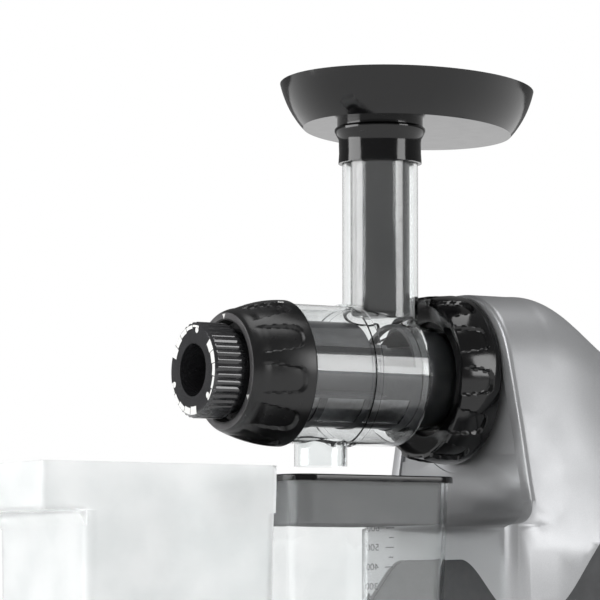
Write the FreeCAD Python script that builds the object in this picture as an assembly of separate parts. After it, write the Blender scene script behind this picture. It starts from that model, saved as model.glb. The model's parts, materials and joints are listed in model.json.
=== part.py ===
import FreeCAD, Part
import math
import os

# Horizontal cold press juicer with its juice cup and pulp bin.
# Millimetres, +Z up, the drum points to -Y, the origin is on the floor
# under the middle of the base.

V = FreeCAD.Vector

# Body housing
body_w = 166.0
body_depth = 200.0
body_top_z = 209.5
rear_top_z = 177.0
deck_level = 53.3
deck_drop_run = 62.0
deck_blend = 6.0
deck_sections = 12
tail_run = 40.0
tail_fall = 26.0
axis_z = 160.0
shell_t = 2.5
rim_setback = 17.9
rim_w = 9.5
rim_round = 2.4
ledge_z = 75.0
lip_r = 4.5
front_corner_r = 14.0
rear_corner_r = 20.0
wave_low_z = 27.0
wave_front_z = 56.0
wave_side_z = 73.0
wave_front_flat = 30.0
wave_front_run = 53.0
wave_side_flat = 26.0
wave_side_run = 50.0
flare_z = 60.0

# Recessed front panel
panel_t = 2.5
pad_t = 1.2
pad_top_z = 115.0
seat_r = 54.0
cove_r = 9.0

# Base and feet
base_inset = 1.5
base_t = 2.5
base_low_z = 5.0
skirt_gap = 0.3
skirt_t = 2.2
skirt_up = 4.0
foot_r = 10.0
foot_inset_x = 24.0
foot_inset_y = 24.0
foot_sink = 2.0
standoff_r = 2.4

# Drum mount and locking ring
mount_len = 16.7
mount_r = 39.5
mount_wall = 3.0
mount_hub_r = 19.0
lug_out = 3.5
lug_t = 3.0
lug_angle = 45.0
lug_count = 3
lug_gap = 0.5
lug_back = 5.7
ring_front_r = 47.2
ring_rear_r = 48.7
ring_len = 25.4
ring_gap = 3.1
ring_bore_gap = 0.4
ring_web_t = 3.5
ring_web_r = 33.0
ring_recess = 4.1
ring_pockets = 12
ring_pocket_phase = 4.4
pocket_deep = 1.5
pocket_flare = 1.15
pocket_reach = 6.0

# Along the ring or cap, share of the pitch to each side, and share of the depth
ring_pocket_steps = ((-0.08, 0.36, 1.0), (0.5, 0.31, 1.0), (0.7, 0.27, 1.0), (0.78, 0.17, -0.3))
cap_recess_steps = ((0.13, 0.4, -0.2), (0.25, 0.38, 0.6), (0.4, 0.34, 1.0), (0.6, 0.31, 1.0),
                    (0.8, 0.27, 1.0), (0.86, 0.17, -0.3))

# Clear drum, chute and spout
barrel_r = 39.5
barrel_wall = 2.2
barrel_len = 78.3
end_wall_t = 2.5
neck_r = 30.0
neck_wall = 2.2
neck_len = 26.9
flange_r = 41.5
flange_t = 3.0
drum_rear_bore_r = 14.0
nose_r = 33.5
nose_len = 19.4
cap_lug_from_front = 6.0
cap_lug_out = 1.6
cap_lug_t = 2.5
cap_lug_angle = 30.0
rib_r = 40.8
rib_w = 4.5
rib_from_chute = 23.0
chute_r = 21.7
chute_wall = 2.0
chute_from_end = 10.7
chute_top_z = 303.0
spout_r = 15.0
spout_wall = 2.0
spout_low_z = 108.2
spout_from_end = 50.7

# Juicing screen and auger
screen_r = 30.4
screen_t = 2.2
screen_front_t = 2.0
screen_window_a = 34.0
screen_end_gap = 1.2
screen_rib_degs = (22.5, 157.5, 202.5, 337.5)
auger_gap = 1.0
auger_end_gap = 0.8
auger_nose_out = 3.0
auger_nose_r = 5.0
auger_core_front_r = 9.0
auger_core_rear_r = 19.0
flight_pitch = 24.0
flight_t = 3.6
nose_cone_len = 12.0
journal_r = 12.4
tang_af = 14.0
tang_len = 13.0
tang_gap = 0.15

# Drive shaft, seal and bushes
shaft_r = 11.5
shaft_rear_r = 7.0
socket_len = 14.0
seal_w = 6.0
bush_wall = 4.0
bush_w = 6.0
bush_shoulder = 0.8
running_gap = 0.05

# Gear train
pressure_deg = 25.0
addendum_k = 0.8
dedendum_k = 1.1
backlash = 0.16
module_1 = 1.0
teeth_pinion = 12
teeth_inter = 60
module_2 = 1.25
teeth_inter_pinion = 14
teeth_output = 50
face_1 = 7.0
face_2 = 10.0
gear_gap = 3.0
motor_axis_z = 97.0
pinion_bore_r = 2.5
axle_r = 4.0
case_wall = 3.0
case_clear = 2.5
case_from_panel = 3.0
case_screw_margin = 2.0
case_screw_degs = (45.0, 135.0, 188.0)
inter_screw_deg = -42.0

# Motor
motor_pad_r = 26.0
motor_r = 40.0
motor_bolt_r = 36.0
rotor_r = 22.0
air_gap = 0.4
stack_len = 36.0
coil_len = 11.0
bracket_t = 3.0
motor_shaft_r = 4.0
bearing_r = 9.5
bearing_w = 6.0
fan_r = 34.0
fan_w = 9.0
fan_gap = 4.0
fan_blades = 9
cradle_t = 4.0

# Electrical parts at the rear
switch_w = 21.0
switch_h = 30.0
switch_deep = 24.0
switch_x = -44.0
switch_z = 104.0
switch_rim = 2.0
switch_well = 12.0
rocker_gap = 1.0
rocker_sink = 5.0
rocker_out = 9.5
rocker_mid_out = 6.6
inlet_x = 44.0
inlet_z = 38.0
inlet_r = 8.0
inlet_bore_r = 3.8
board_w = 62.0
board_d = 40.0
board_t = 1.6
board_setback = 14.0
capacitor_r = 15.0
capacitor_len = 40.0
capacitor_setback = 32.0
vent_count = 7
vent_w = 3.0
vent_len = 26.0
vent_pitch = 8.0
vent_low_z = 92.0

# End cap, nozzle and dial
cap_front_r = 33.6
cap_rear_r = 41.3
cap_len = 36.5
cap_gap = 0.4
cap_over_barrel = 1.4
cap_wall_y = 4.5
cap_pocket_r = 28.5
cap_pocket_deep = 9.1
cap_recesses = 10
cap_recess_phase = 9.0
cap_recess_deep = 1.6
cap_front_edge = 1.0
cap_rear_edge = 0.8
tube_r = 16.0
tube_bore_r = 13.0
tube_len = 12.0
bezel_t = 0.8
dial_r = 26.8
dial_len = 18.3
dial_stand = 1.6
dial_neck_r = 24.0
dial_bore_r = 14.8
dial_ribs = 38
dial_rib_h = 0.8
dial_face_t = 0.9
nozzle_bore_r = 10.6
nozzle_len = 16.0
key_w = 4.0
key_h = 1.6
slide_gap = 0.3

# Hopper tray and plunger
tray_a = 96.0
tray_b = 71.0
tray_inset = 13.5
tray_rim_z = 333.0
tray_floor_z = 307.3
tray_wall = 2.2
tray_turn_deg = 127.0
tray_offset = 46.0
collar_low_z = 283.0
collar_r = 24.0
collar_flare_r = 26.2
collar_lip_r = 24.7
collar_gap = 0.3
plunger_r = 17.0
plunger_low_z = 196.0
plunger_wall = 2.0
handle_r = 24.5
handle_h = 24.0
handle_wall = 2.5

# Juice cup and strainer lid
cup_w = 108.2
cup_d = 109.5
cup_gap = 13.0
cup_top_z = 101.8
cup_wall = 2.2
cup_draft = 3.1
cup_corner_r = 13.0
cup_foot_h = 3.0
cup_floor_t = 3.0
lid_t = 3.6
lid_over = 2.6
lid_skirt = 23.0
lid_skirt_gap = 0.5
lid_skirt_t = 1.8
lid_skirt_seat = 1.0
lid_well_rim = 8.0
lid_mesh_r = 33.0
lid_mesh_t = 0.8

# Pulp bin
bin_w = 108.2
bin_d = 143.5
bin_gap = 10.0
bin_top_z = 105.6
bin_ledge_z = 79.8
bin_step = 26.0
bin_wall = 2.0
bin_draft = 1.6
bin_upper_corner_r = 4.0
bin_lower_corner_r = 7.0
bin_step_r = 8.0

# Fasteners
screw_r = 2.0
screw_head_r = 3.8
screw_head_h = 2.2

# Places worked out from the sizes above
half_w = body_w / 2
front_y = -body_depth / 2
rear_y = body_depth / 2
rim_y = front_y + rim_setback
deck_drop_y = front_y + deck_level
panel_y = rim_y + shell_t
panel_back_y = panel_y + panel_t
mount_face_y = panel_y - mount_len
drum_rear_y = mount_face_y
barrel_end_y = drum_rear_y - neck_len
barrel_front_y = barrel_end_y - barrel_len
drum_front_y = barrel_front_y - nose_len
chute_y = barrel_end_y - chute_from_end
spout_y = barrel_end_y - spout_from_end
ring_rear_y = panel_y - ring_gap
ring_front_y = ring_rear_y - ring_len
cap_rear_y = barrel_front_y + cap_over_barrel
cap_front_y = cap_rear_y - cap_len
cap_back_wall_y = cap_front_y + cap_pocket_deep
cap_inner_y = cap_back_wall_y + cap_wall_y
dial_rear_y = cap_front_y - dial_stand
dial_front_y = dial_rear_y - dial_len
screen_rear_y = barrel_end_y - end_wall_t
screen_front_y = cap_inner_y + screen_end_gap
screen_bore_r = screen_r - screen_t
flight_r = neck_r - neck_wall - auger_gap
auger_rear_y = drum_rear_y - end_wall_t - auger_end_gap
auger_front_y = screen_front_y - auger_nose_out
case_front_y = panel_back_y + case_from_panel
gear2_y = case_front_y + case_wall + gear_gap
gear1_y = gear2_y + face_2 + gear_gap
cover_y = gear1_y + face_1 + gear_gap
r_pinion = module_1 * teeth_pinion / 2
r_inter = module_1 * teeth_inter / 2
r_inter_pinion = module_2 * teeth_inter_pinion / 2
r_output = module_2 * teeth_output / 2
reach_1 = r_pinion + r_inter
reach_2 = r_inter_pinion + r_output
axis_drop = axis_z - motor_axis_z
inter_cos = (reach_2 ** 2 + axis_drop ** 2 - reach_1 ** 2) / (2 * reach_2 * axis_drop)
inter_x = reach_2 * math.sqrt(1 - inter_cos ** 2)
inter_z = axis_z - reach_2 * inter_cos
motor_front_y = cover_y + case_wall
stack_y = motor_front_y + bracket_t + bearing_w + coil_len
stack_end_y = stack_y + stack_len
motor_rear_y = stack_end_y + coil_len + bearing_w
fan_y = motor_rear_y + bracket_t + fan_gap
cup_rear_y = front_y - cup_gap
cup_front_y = cup_rear_y - cup_d
bin_rear_y = cup_front_y - bin_gap
bin_front_y = bin_rear_y - bin_d
tray_x = tray_offset * math.cos(math.radians(tray_turn_deg))
tray_y = chute_y + tray_offset * math.sin(math.radians(tray_turn_deg))


# Plain building blocks

def cyl(r, y0, y1, x=0.0, z=axis_z):
    return Part.makeCylinder(r, y1 - y0, V(x, y0, z), V(0, 1, 0))


def tube(ro, ri, y0, y1, x=0.0, z=axis_z):
    return cyl(ro, y0, y1, x, z).cut(cyl(ri, y0 - 1, y1 + 1, x, z))


def cyl_z(r, z0, z1, x=0.0, y=0.0):
    return Part.makeCylinder(r, z1 - z0, V(x, y, z0), V(0, 0, 1))


def block(x0, x1, y0, y1, z0, z1):
    return Part.makeBox(x1 - x0, y1 - y0, z1 - z0, V(x0, y0, z0))


def polygon(points):
    return Part.makePolygon(list(points) + [points[0]])


def prism_y(wire, y0, y1):
    solid = Part.Face(wire).extrude(V(0, y1 - y0, 0))
    solid.translate(V(0, y0, 0))
    return solid


def turned_y(profile, x=0.0, z=axis_z):
    points = [V(x + r, y, z) for r, y in profile]
    return Part.Face(polygon(points)).revolve(V(x, 0, z), V(0, 1, 0), 360)


def turned_z(profile, x=0.0, y=0.0):
    points = [V(x + r, y, z) for r, z in profile]
    return Part.Face(polygon(points)).revolve(V(x, y, 0), V(0, 0, 1), 360)


def fuse(shapes):
    return shapes[0].multiFuse(shapes[1:]).removeSplitter()


def about_axis(shape, deg):
    turned = shape.copy()
    turned.rotate(V(0, 0, axis_z), V(0, 1, 0), deg)
    return turned


def sector(r, y0, y1, start_deg, sweep_deg):
    # A wedge round the drum axis. Angles run from +X towards -Z.
    face = Part.Face(polygon([V(0, y0, axis_z), V(r, y0, axis_z), V(r, y1, axis_z), V(0, y1, axis_z)]))
    wedge = face.revolve(V(0, 0, axis_z), V(0, 1, 0), sweep_deg)
    return about_axis(wedge, start_deg)


def rounded_rect(x0, x1, y0, y1, z, r):
    a = math.sqrt(0.5)
    def corner(cx, cy, sx, sy):
        return V(cx + sx * r * a, cy + sy * r * a, z)
    edges = [
        Part.makeLine(V(x0 + r, y0, z), V(x1 - r, y0, z)),
        Part.Arc(V(x1 - r, y0, z), corner(x1 - r, y0 + r, 1, -1), V(x1, y0 + r, z)).toShape(),
        Part.makeLine(V(x1, y0 + r, z), V(x1, y1 - r, z)),
        Part.Arc(V(x1, y1 - r, z), corner(x1 - r, y1 - r, 1, 1), V(x1 - r, y1, z)).toShape(),
        Part.makeLine(V(x1 - r, y1, z), V(x0 + r, y1, z)),
        Part.Arc(V(x0 + r, y1, z), corner(x0 + r, y1 - r, -1, 1), V(x0, y1 - r, z)).toShape(),
        Part.makeLine(V(x0, y1 - r, z), V(x0, y0 + r, z)),
        Part.Arc(V(x0, y0 + r, z), corner(x0 + r, y0 + r, -1, -1), V(x0 + r, y0, z)).toShape(),
    ]
    return Part.Wire(edges)


def ramp(t):
    t = min(1.0, max(0.0, t))
    return (1 - math.cos(math.pi * t)) / 2


# Body form: an arch that flares towards the base, with a lower rear deck

def arch_points(inset, top_z, low_z):
    outline = [
        (half_w, low_z),
        (half_w, (low_z + flare_z) / 2),
        (half_w, flare_z),
        (half_w - 2.6, flare_z + 15),
        (half_w - 7.2, flare_z + 33),
        (half_w - 16.8, flare_z + 71),
        (half_w - 25.6, flare_z + 103),
        (half_w - 31.5, flare_z + 121),
        (half_w - 40.5, flare_z + 134.5),
        (half_w - 54.0, flare_z + 144),
        (half_w - 69.0, flare_z + 148.6),
        (0.0, body_top_z),
    ]
    squeeze = (top_z - flare_z) / (body_top_z - flare_z)
    right = []
    for x, z in outline:
        lifted = z if z <= flare_z else flare_z + (z - flare_z) * squeeze
        right.append((x, lifted))
    mirrored = right + [(-x, z) for x, z in reversed(right[:-1])]
    if inset == 0:
        return mirrored
    moved = []
    last = len(mirrored) - 1
    for i, (x, z) in enumerate(mirrored):
        ax, az = mirrored[max(0, i - 1)]
        bx, bz = mirrored[min(last, i + 1)]
        length = math.hypot(bx - ax, bz - az)
        moved.append((x - inset * (bz - az) / length, z + inset * (bx - ax) / length))
    return moved


def arch_wire(y, inset, top_z, low_z):
    points = [V(x, y, z) for x, z in arch_points(inset, top_z, low_z)]
    curve = Part.BSplineCurve()
    curve.interpolate(points, InitialTangent=V(0, 0, 1), FinalTangent=V(0, 0, -1))
    floor = Part.makeLine(points[-1], points[0])
    return Part.Wire([curve.toShape(), floor])


def deck_height(y):
    # The crown runs level, drops in an S curve, then runs down to the rear.
    height = body_top_z - (body_top_z - rear_top_z) * ramp((y - deck_drop_y) / deck_drop_run)
    tail = max(0.0, (y - (rear_y - tail_run)) / tail_run)
    return height - tail_fall * tail ** 3


def rim_nose(inset, first, low_z):
    # The arch's front edge, rounded over in short steps.
    sections = []
    for deg in (0, 30, 60, 90):
        a = math.radians(deg)
        y = first + rim_round * (1 - math.cos(a))
        sections.append(arch_wire(y, inset + rim_round * (1 - math.sin(a)), body_top_z, low_z))
    return Part.makeLoft(sections, True, True)


def body_form(inset, low_z):
    first = rim_y + inset
    last = rear_y - inset
    level_end = deck_drop_y - deck_blend
    level = prism_y(arch_wire(0, inset, body_top_z, low_z), first + rim_round, level_end)
    level = level.fuse(rim_nose(inset, first, low_z))
    sections = []
    for i in range(deck_sections + 1):
        y = level_end + (last - level_end) * i / deck_sections
        sections.append(arch_wire(y, inset, deck_height(y), low_z))
    arch = level.fuse(Part.makeLoft(sections, True, False))
    lower = prism_y(arch_wire(0, inset, body_top_z, low_z), front_y + inset, rim_y + inset + 12)
    r = max(0.5, lip_r - inset)
    y0 = front_y + inset
    y1 = rim_y + inset + 13
    top = ledge_z - inset
    a = r * (1 - math.sqrt(0.5))
    x = half_w + 5
    side = Part.Wire([
        Part.makeLine(V(-x, y1, low_z - 1), V(-x, y0, low_z - 1)),
        Part.makeLine(V(-x, y0, low_z - 1), V(-x, y0, top - r)),
        Part.Arc(V(-x, y0, top - r), V(-x, y0 + a, top - a), V(-x, y0 + r, top)).toShape(),
        Part.makeLine(V(-x, y0 + r, top), V(-x, y1, top)),
        Part.makeLine(V(-x, y1, top), V(-x, y1, low_z - 1)),
    ])
    lower = lower.common(Part.Face(side).extrude(V(2 * x, 0, 0)))
    form = arch.fuse(lower)
    front_plan = Part.Face(rounded_rect(-half_w + inset, half_w - inset, front_y + inset, rear_y + 60,
                                        low_z - 2, front_corner_r - inset))
    rear_plan = Part.Face(rounded_rect(-half_w + inset, half_w - inset, front_y - 60, rear_y - inset,
                                       low_z - 2, rear_corner_r - inset))
    tall = V(0, 0, body_top_z + 20)
    return form.common(front_plan.extrude(tall)).common(rear_plan.extrude(tall))


def wave_cut_front(y0, y1):
    points = []
    steps = 24
    reach = half_w + 6
    for i in range(-steps, steps + 1):
        x = reach * i / steps
        lift = wave_front_z - (wave_front_z - wave_low_z) * ramp((abs(x) - wave_front_flat) / wave_front_run)
        points.append(V(x, y0, lift))
    curve = Part.BSplineCurve()
    curve.interpolate(points)
    low = wave_low_z - 20
    wire = Part.Wire([
        curve.toShape(),
        Part.makeLine(points[-1], V(reach, y0, low)),
        Part.makeLine(V(reach, y0, low), V(-reach, y0, low)),
        Part.makeLine(V(-reach, y0, low), points[0]),
    ])
    return Part.Face(wire).extrude(V(0, y1 - y0, 0))


def wave_cut_side(x0, x1, y0, y1):
    points = []
    steps = 30
    middle = (y0 + y1) / 2
    for i in range(-steps, steps + 1):
        y = middle + (y1 - y0) / 2 * i / steps
        away = abs(y - middle) - wave_side_flat
        lift = wave_side_z - (wave_side_z - wave_low_z) * ramp(away / wave_side_run)
        points.append(V(x0, y, lift))
    curve = Part.BSplineCurve()
    curve.interpolate(points)
    low = wave_low_z - 20
    wire = Part.Wire([
        curve.toShape(),
        Part.makeLine(points[-1], V(x0, y1, low)),
        Part.makeLine(V(x0, y1, low), V(x0, y0, low)),
        Part.makeLine(V(x0, y0, low), points[0]),
    ])
    return Part.Face(wire).extrude(V(x1 - x0, 0, 0))


def corner_wings():
    # At both sides the arch's edge sweeps forward onto the ledge in a quarter circle.
    start_y = front_y + lip_r
    end_y = rim_y + rim_round
    sweep = rim_y - start_y
    top = ledge_z + sweep
    low = ledge_z - shell_t / 2
    a = sweep * math.sqrt(0.5)
    x = half_w + 5
    side = Part.Wire([
        Part.Arc(V(-x, start_y, ledge_z), V(-x, start_y + a, top - a), V(-x, rim_y, top)).toShape(),
        Part.makeLine(V(-x, rim_y, top), V(-x, end_y, top)),
        Part.makeLine(V(-x, end_y, top), V(-x, end_y, low)),
        Part.makeLine(V(-x, end_y, low), V(-x, start_y, low)),
        Part.makeLine(V(-x, start_y, low), V(-x, start_y, ledge_z)),
    ])
    swept = Part.Face(side).extrude(V(2 * x, 0, 0))
    band = prism_y(arch_wire(0, 0, body_top_z, ledge_z - 30), front_y, end_y)
    band = band.cut(prism_y(arch_wire(0, rim_w, body_top_z, ledge_z - 40), front_y - 1, end_y + 1))
    plan = rounded_rect(-half_w, half_w, front_y, rear_y, low - 1, front_corner_r)
    return swept.common(band).common(Part.Face(plan).extrude(V(0, 0, body_top_z)))


def vent_slots(y0, y1):
    slots = []
    for i in range(vent_count):
        x = (i - (vent_count - 1) / 2) * vent_pitch
        slots.append(block(x - vent_w / 2, x + vent_w / 2, y0, y1, vent_low_z, vent_low_z + vent_len))
    return fuse(slots)


def make_body_shell():
    shell = body_form(0, wave_low_z - 6).cut(body_form(shell_t, wave_low_z - 16))
    window = prism_y(arch_wire(0, rim_w, body_top_z, ledge_z - 30), rim_y - 1, panel_y + 0.001)
    window = window.common(block(-half_w, half_w, rim_y - 1, panel_y + 1, ledge_z, body_top_z))
    shell = shell.cut(window).fuse(corner_wings()).removeSplitter()
    corner = front_corner_r + 0.5
    shell = shell.cut(wave_cut_front(front_y - 1, front_y + corner))
    shell = shell.cut(wave_cut_front(rear_y - corner, rear_y + 1))
    for side in (-1, 1):
        x0 = min(side * (half_w - corner), side * (half_w + 1))
        cut = wave_cut_side(x0, x0 + corner + 1, front_y + corner, rear_y - corner)
        shell = shell.cut(cut)
    back = (rear_y - shell_t - 1, rear_y + 1)
    hole_w = switch_w / 2 + 0.2
    hole_h = switch_h / 2 + 0.2
    shell = shell.cut(block(switch_x - hole_w, switch_x + hole_w, back[0], back[1],
                            switch_z - hole_h, switch_z + hole_h))
    shell = shell.cut(vent_slots(*back))
    return shell


def make_front_panel():
    edge = shell_t + rim_round + skirt_gap
    sheet = prism_y(arch_wire(0, edge, body_top_z, ledge_z - 20), panel_y, panel_back_y)
    sheet = sheet.common(block(-half_w, half_w, panel_y, panel_back_y, ledge_z, body_top_z))
    pad = prism_y(arch_wire(0, rim_w + 0.1, body_top_z, ledge_z - 30), panel_y - pad_t, panel_y)
    pad = pad.common(block(-half_w, half_w, panel_y - pad_t, panel_y, ledge_z, pad_top_z))
    pad = pad.cut(cyl(seat_r, panel_y - pad_t - 1, panel_y + 1))
    face_y = panel_y - pad_t
    cove = block(-half_w, half_w, face_y - cove_r, face_y, ledge_z, ledge_z + cove_r)
    hollow = Part.makeCylinder(cove_r, body_w, V(-half_w, face_y - cove_r, ledge_z + cove_r), V(1, 0, 0))
    window = prism_y(arch_wire(0, rim_w + 0.1, body_top_z, ledge_z - 30), face_y - cove_r - 1, face_y)
    cove = cove.cut(hollow).common(window)
    panel = fuse([sheet, pad, cove])
    return panel.cut(cyl(mount_hub_r + 2.5, panel_y - 5, panel_back_y + 1))


# Base, feet and mount

def plan_prism(inset, z0, z1):
    wire = rounded_rect(-half_w + inset, half_w - inset, front_y + inset, rear_y - inset, z0,
                        front_corner_r)
    return Part.Face(wire).extrude(V(0, 0, z1 - z0))


def make_base():
    plinth_top = wave_low_z - 0.5
    plinth = plan_prism(base_inset, base_low_z, plinth_top)
    pan = plan_prism(base_inset + base_t, base_low_z + base_t, plinth_top + 1)
    skirt_in = shell_t + skirt_gap
    skirt = body_form(skirt_in, plinth_top - 8).cut(body_form(skirt_in + skirt_t, plinth_top - 20))
    skirt = skirt.common(block(-half_w, half_w, front_y, rear_y, plinth_top - base_t,
                               wave_side_z + skirt_up))
    front_room = block(-half_w, half_w, front_y, rim_y + 14, ledge_z - shell_t - 0.3, body_top_z)
    skirt = skirt.cut(front_room)
    floor_ring = plan_prism(base_inset, plinth_top - base_t, plinth_top)
    floor_ring = floor_ring.cut(plan_prism(skirt_in + skirt_t, plinth_top - base_t - 1, plinth_top + 1))
    base = fuse([plinth.cut(pan), floor_ring, skirt])
    for x, y in foot_places():
        base = base.cut(cyl_z(foot_r, base_low_z - 1, base_low_z + foot_sink, x, y))
        post = cyl_z(foot_r + 2, base_low_z + foot_sink, base_low_z + base_t + foot_sink, x, y)
        base = base.fuse(post)
    bore = cyl(inlet_r - 1.5, rear_y - 20.0, rear_y + 5.0, inlet_x, inlet_z)
    return base.cut(bore).removeSplitter()


def foot_places():
    places = []
    for sx in (-1, 1):
        for sy in (-1, 1):
            places.append((sx * (half_w - foot_inset_x), sy * (body_depth / 2 - foot_inset_y)))
    return places


def make_feet():
    feet = []
    for x, y in foot_places():
        foot = cyl_z(foot_r, 0, base_low_z + foot_sink, x, y)
        feet.append(foot.makeChamfer(1.0, [e for e in foot.Edges if e.BoundBox.ZMax < 0.01]))
    return Part.makeCompound(feet)


def make_drum_mount():
    disc = cyl(mount_r, mount_face_y, panel_y)
    hollow = tube(mount_r - mount_wall, mount_hub_r, mount_face_y + 3.0, panel_y + 1)
    mount = disc.cut(hollow)
    lugs_y = panel_y - lug_back - lug_t
    for i in range(lug_count):
        start = i * 360.0 / lug_count - lug_angle / 2
        lug = sector(mount_r + lug_out, lugs_y - lug_t, lugs_y, start, lug_angle)
        mount = mount.fuse(lug.cut(cyl(mount_r - 0.5, lugs_y - lug_t - 1, lugs_y + 1)))
    hub = cyl(mount_hub_r, mount_face_y, panel_back_y)
    mount = mount.fuse(hub)
    mount = mount.cut(cyl(shaft_r + 0.6, mount_face_y - 1, panel_back_y + 1))
    mount = mount.cut(cyl(shaft_r + 4.0, mount_face_y - 1, mount_face_y + seal_w))
    return mount.removeSplitter()


def make_shaft_seal():
    return turned_y([
        (shaft_r + 4.0, mount_face_y + seal_w),
        (shaft_r + 4.0, mount_face_y + 0.4),
        (shaft_r + 3.0, mount_face_y + 0.4),
        (shaft_r + 2.2, mount_face_y + 2.6),
        (shaft_r + running_gap, mount_face_y + 2.2),
        (shaft_r + running_gap, mount_face_y + 3.6),
        (shaft_r + 1.6, mount_face_y + seal_w),
    ])


def make_locking_ring():
    bore_r = mount_r + lug_out + ring_bore_gap
    mid_y = (ring_front_y + ring_rear_y) / 2
    mid_r = (ring_front_r + ring_rear_r) / 2 + 0.6
    web_y = ring_front_y + ring_recess
    ring = turned_y([
        (ring_front_r - 2.0, ring_front_y),
        (ring_front_r, ring_front_y + 2.0),
        (mid_r, mid_y),
        (ring_rear_r, ring_rear_y - 1.5),
        (ring_rear_r - 1.0, ring_rear_y),
        (bore_r, ring_rear_y),
        (bore_r, web_y + ring_web_t),
        (ring_web_r, web_y + ring_web_t),
        (ring_web_r, web_y),
        (ring_front_r - 3.4, web_y),
        (ring_front_r - 3.4, ring_front_y),
    ])
    lug_y = panel_y - lug_back - lug_t + lug_gap
    for i in range(lug_count):
        start = i * 360.0 / lug_count - lug_angle / 2
        lug = sector(bore_r + 0.5, lug_y, lug_y + lug_t - lug_gap, start, lug_angle)
        ring = ring.fuse(lug.cut(cyl(mount_r + ring_bore_gap, lug_y - 1, lug_y + lug_t + 1)))
    pitch = 360.0 / ring_pockets
    sections = []
    for t, share, depth in ring_pocket_steps:
        surface_r = ring_front_r if t < 0 else mid_r if t < 0.6 else ring_rear_r
        sections.append((ring_front_y + ring_len * t, pitch * share, surface_r - pocket_deep * depth))
    for i in range(ring_pockets):
        at_deg = ring_pocket_phase + i * pitch
        ring = ring.cut(grip_pocket(sections, ring_rear_r + pocket_reach, at_deg))
    return ring.removeSplitter()


def grip_pocket(sections, out_r, at_deg):
    # A shallow pocket cut by a lofted wedge. A section is its place, half angle and floor radius.
    wires = []
    for y, half_deg, floor_r in sections:
        a = math.radians(half_deg)
        corner_r = floor_r / math.cos(a)
        wide = a * pocket_flare
        spots = [(corner_r, -a), (out_r, -wide), (out_r, wide), (corner_r, a)]
        wires.append(polygon([V(r * math.cos(b), y, axis_z - r * math.sin(b)) for r, b in spots]))
    return about_axis(Part.makeLoft(wires, True, True), at_deg)


# Clear drum with chute and spout

def make_drum():
    outer = [
        cyl(barrel_r, barrel_front_y, barrel_end_y),
        cyl(nose_r, drum_front_y, barrel_front_y + 1),
        cyl(neck_r, barrel_end_y - 1, drum_rear_y),
        cyl(flange_r, drum_rear_y - flange_t, drum_rear_y),
        cyl(rib_r, chute_y - rib_from_chute - rib_w, chute_y - rib_from_chute),
        cyl_z(chute_r, axis_z, chute_top_z, 0, chute_y),
        cyl_z(spout_r, spout_low_z, axis_z, 0, spout_y),
    ]
    solid = fuse(outer)
    edges = []
    for e in solid.Edges:
        box = e.BoundBox
        flat = box.YLength < 0.01
        if flat and abs(box.YMax - barrel_end_y) < 0.01 and box.ZMin < axis_z - barrel_r + 0.1:
            edges.append(e)
    if edges:
        solid = solid.makeFillet(3.0, edges)
    inner_y = barrel_end_y - end_wall_t
    solid = solid.cut(cyl(barrel_r - barrel_wall, barrel_front_y + barrel_wall, inner_y))
    solid = solid.cut(cyl(nose_r - barrel_wall, drum_front_y - 1, barrel_front_y + barrel_wall + 1))
    solid = solid.cut(cyl(neck_r - neck_wall, inner_y - 1, drum_rear_y - end_wall_t))
    solid = solid.cut(cyl(drum_rear_bore_r, drum_rear_y - 10, drum_rear_y + 1))
    solid = solid.cut(cyl_z(chute_r - chute_wall, axis_z, chute_top_z + 1, 0, chute_y))
    solid = solid.cut(cyl_z(spout_r - spout_wall, spout_low_z - 1, axis_z, 0, spout_y))
    lug_y = drum_front_y + cap_lug_from_front
    for i in range(lug_count):
        start = i * 360.0 / lug_count - cap_lug_angle / 2
        lug = sector(nose_r + cap_lug_out, lug_y, lug_y + lug_t, start, cap_lug_angle)
        solid = solid.fuse(lug.cut(cyl(nose_r - 1, lug_y - 1, lug_y + lug_t + 1)))
    return solid.removeSplitter()


def make_drum_seal():
    y1 = drum_rear_y
    y0 = y1 - end_wall_t
    return tube(drum_rear_bore_r, journal_r + 0.3, y0, y1)


def make_screen():
    frame = tube(screen_r, screen_bore_r, screen_front_y, screen_rear_y)
    face = tube(screen_r, nozzle_bore_r + 4.0, screen_front_y, screen_front_y + screen_front_t)
    feed_y = chute_y - chute_r - 2.0
    open_top = block(-screen_r - 1, screen_r + 1, feed_y, screen_rear_y - 4.0,
                     axis_z + 4.0, axis_z + screen_r + 1)
    frame = frame.cut(open_top)
    for z_deg in window_angles():
        for y0, y1 in window_spans():
            cut = sector(screen_r + 2, y0, y1, z_deg - screen_window_a / 2, screen_window_a)
            frame = frame.cut(cut.cut(cyl(screen_bore_r - 2, y0 - 1, y1 + 1)))
    ribs = []
    for deg in screen_rib_degs:
        rib = block(screen_r - 1.0, barrel_r - barrel_wall - 0.3, barrel_front_y + barrel_wall + 0.5,
                    screen_rear_y - 26.0, axis_z - 1.0, axis_z + 1.0)
        ribs.append(about_axis(rib, deg))
    return fuse([frame, face] + ribs)


def window_angles():
    return [45.0, 90.0, 135.0]


def window_spans():
    first = screen_front_y + screen_front_t + 5.0
    last = screen_rear_y - 6.0
    gap = 5.0
    width = (last - first - 2 * gap) / 3
    return [(first + i * (width + gap), first + i * (width + gap) + width) for i in range(3)]


def make_screen_mesh():
    pieces = []
    mid_r = (screen_r + screen_bore_r) / 2
    for z_deg in window_angles():
        for y0, y1 in window_spans():
            sheet = sector(mid_r + 0.3, y0, y1, z_deg - screen_window_a / 2, screen_window_a)
            pieces.append(sheet.cut(cyl(mid_r - 0.3, y0 - 1, y1 + 1)))
    return Part.makeCompound(pieces)


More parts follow.
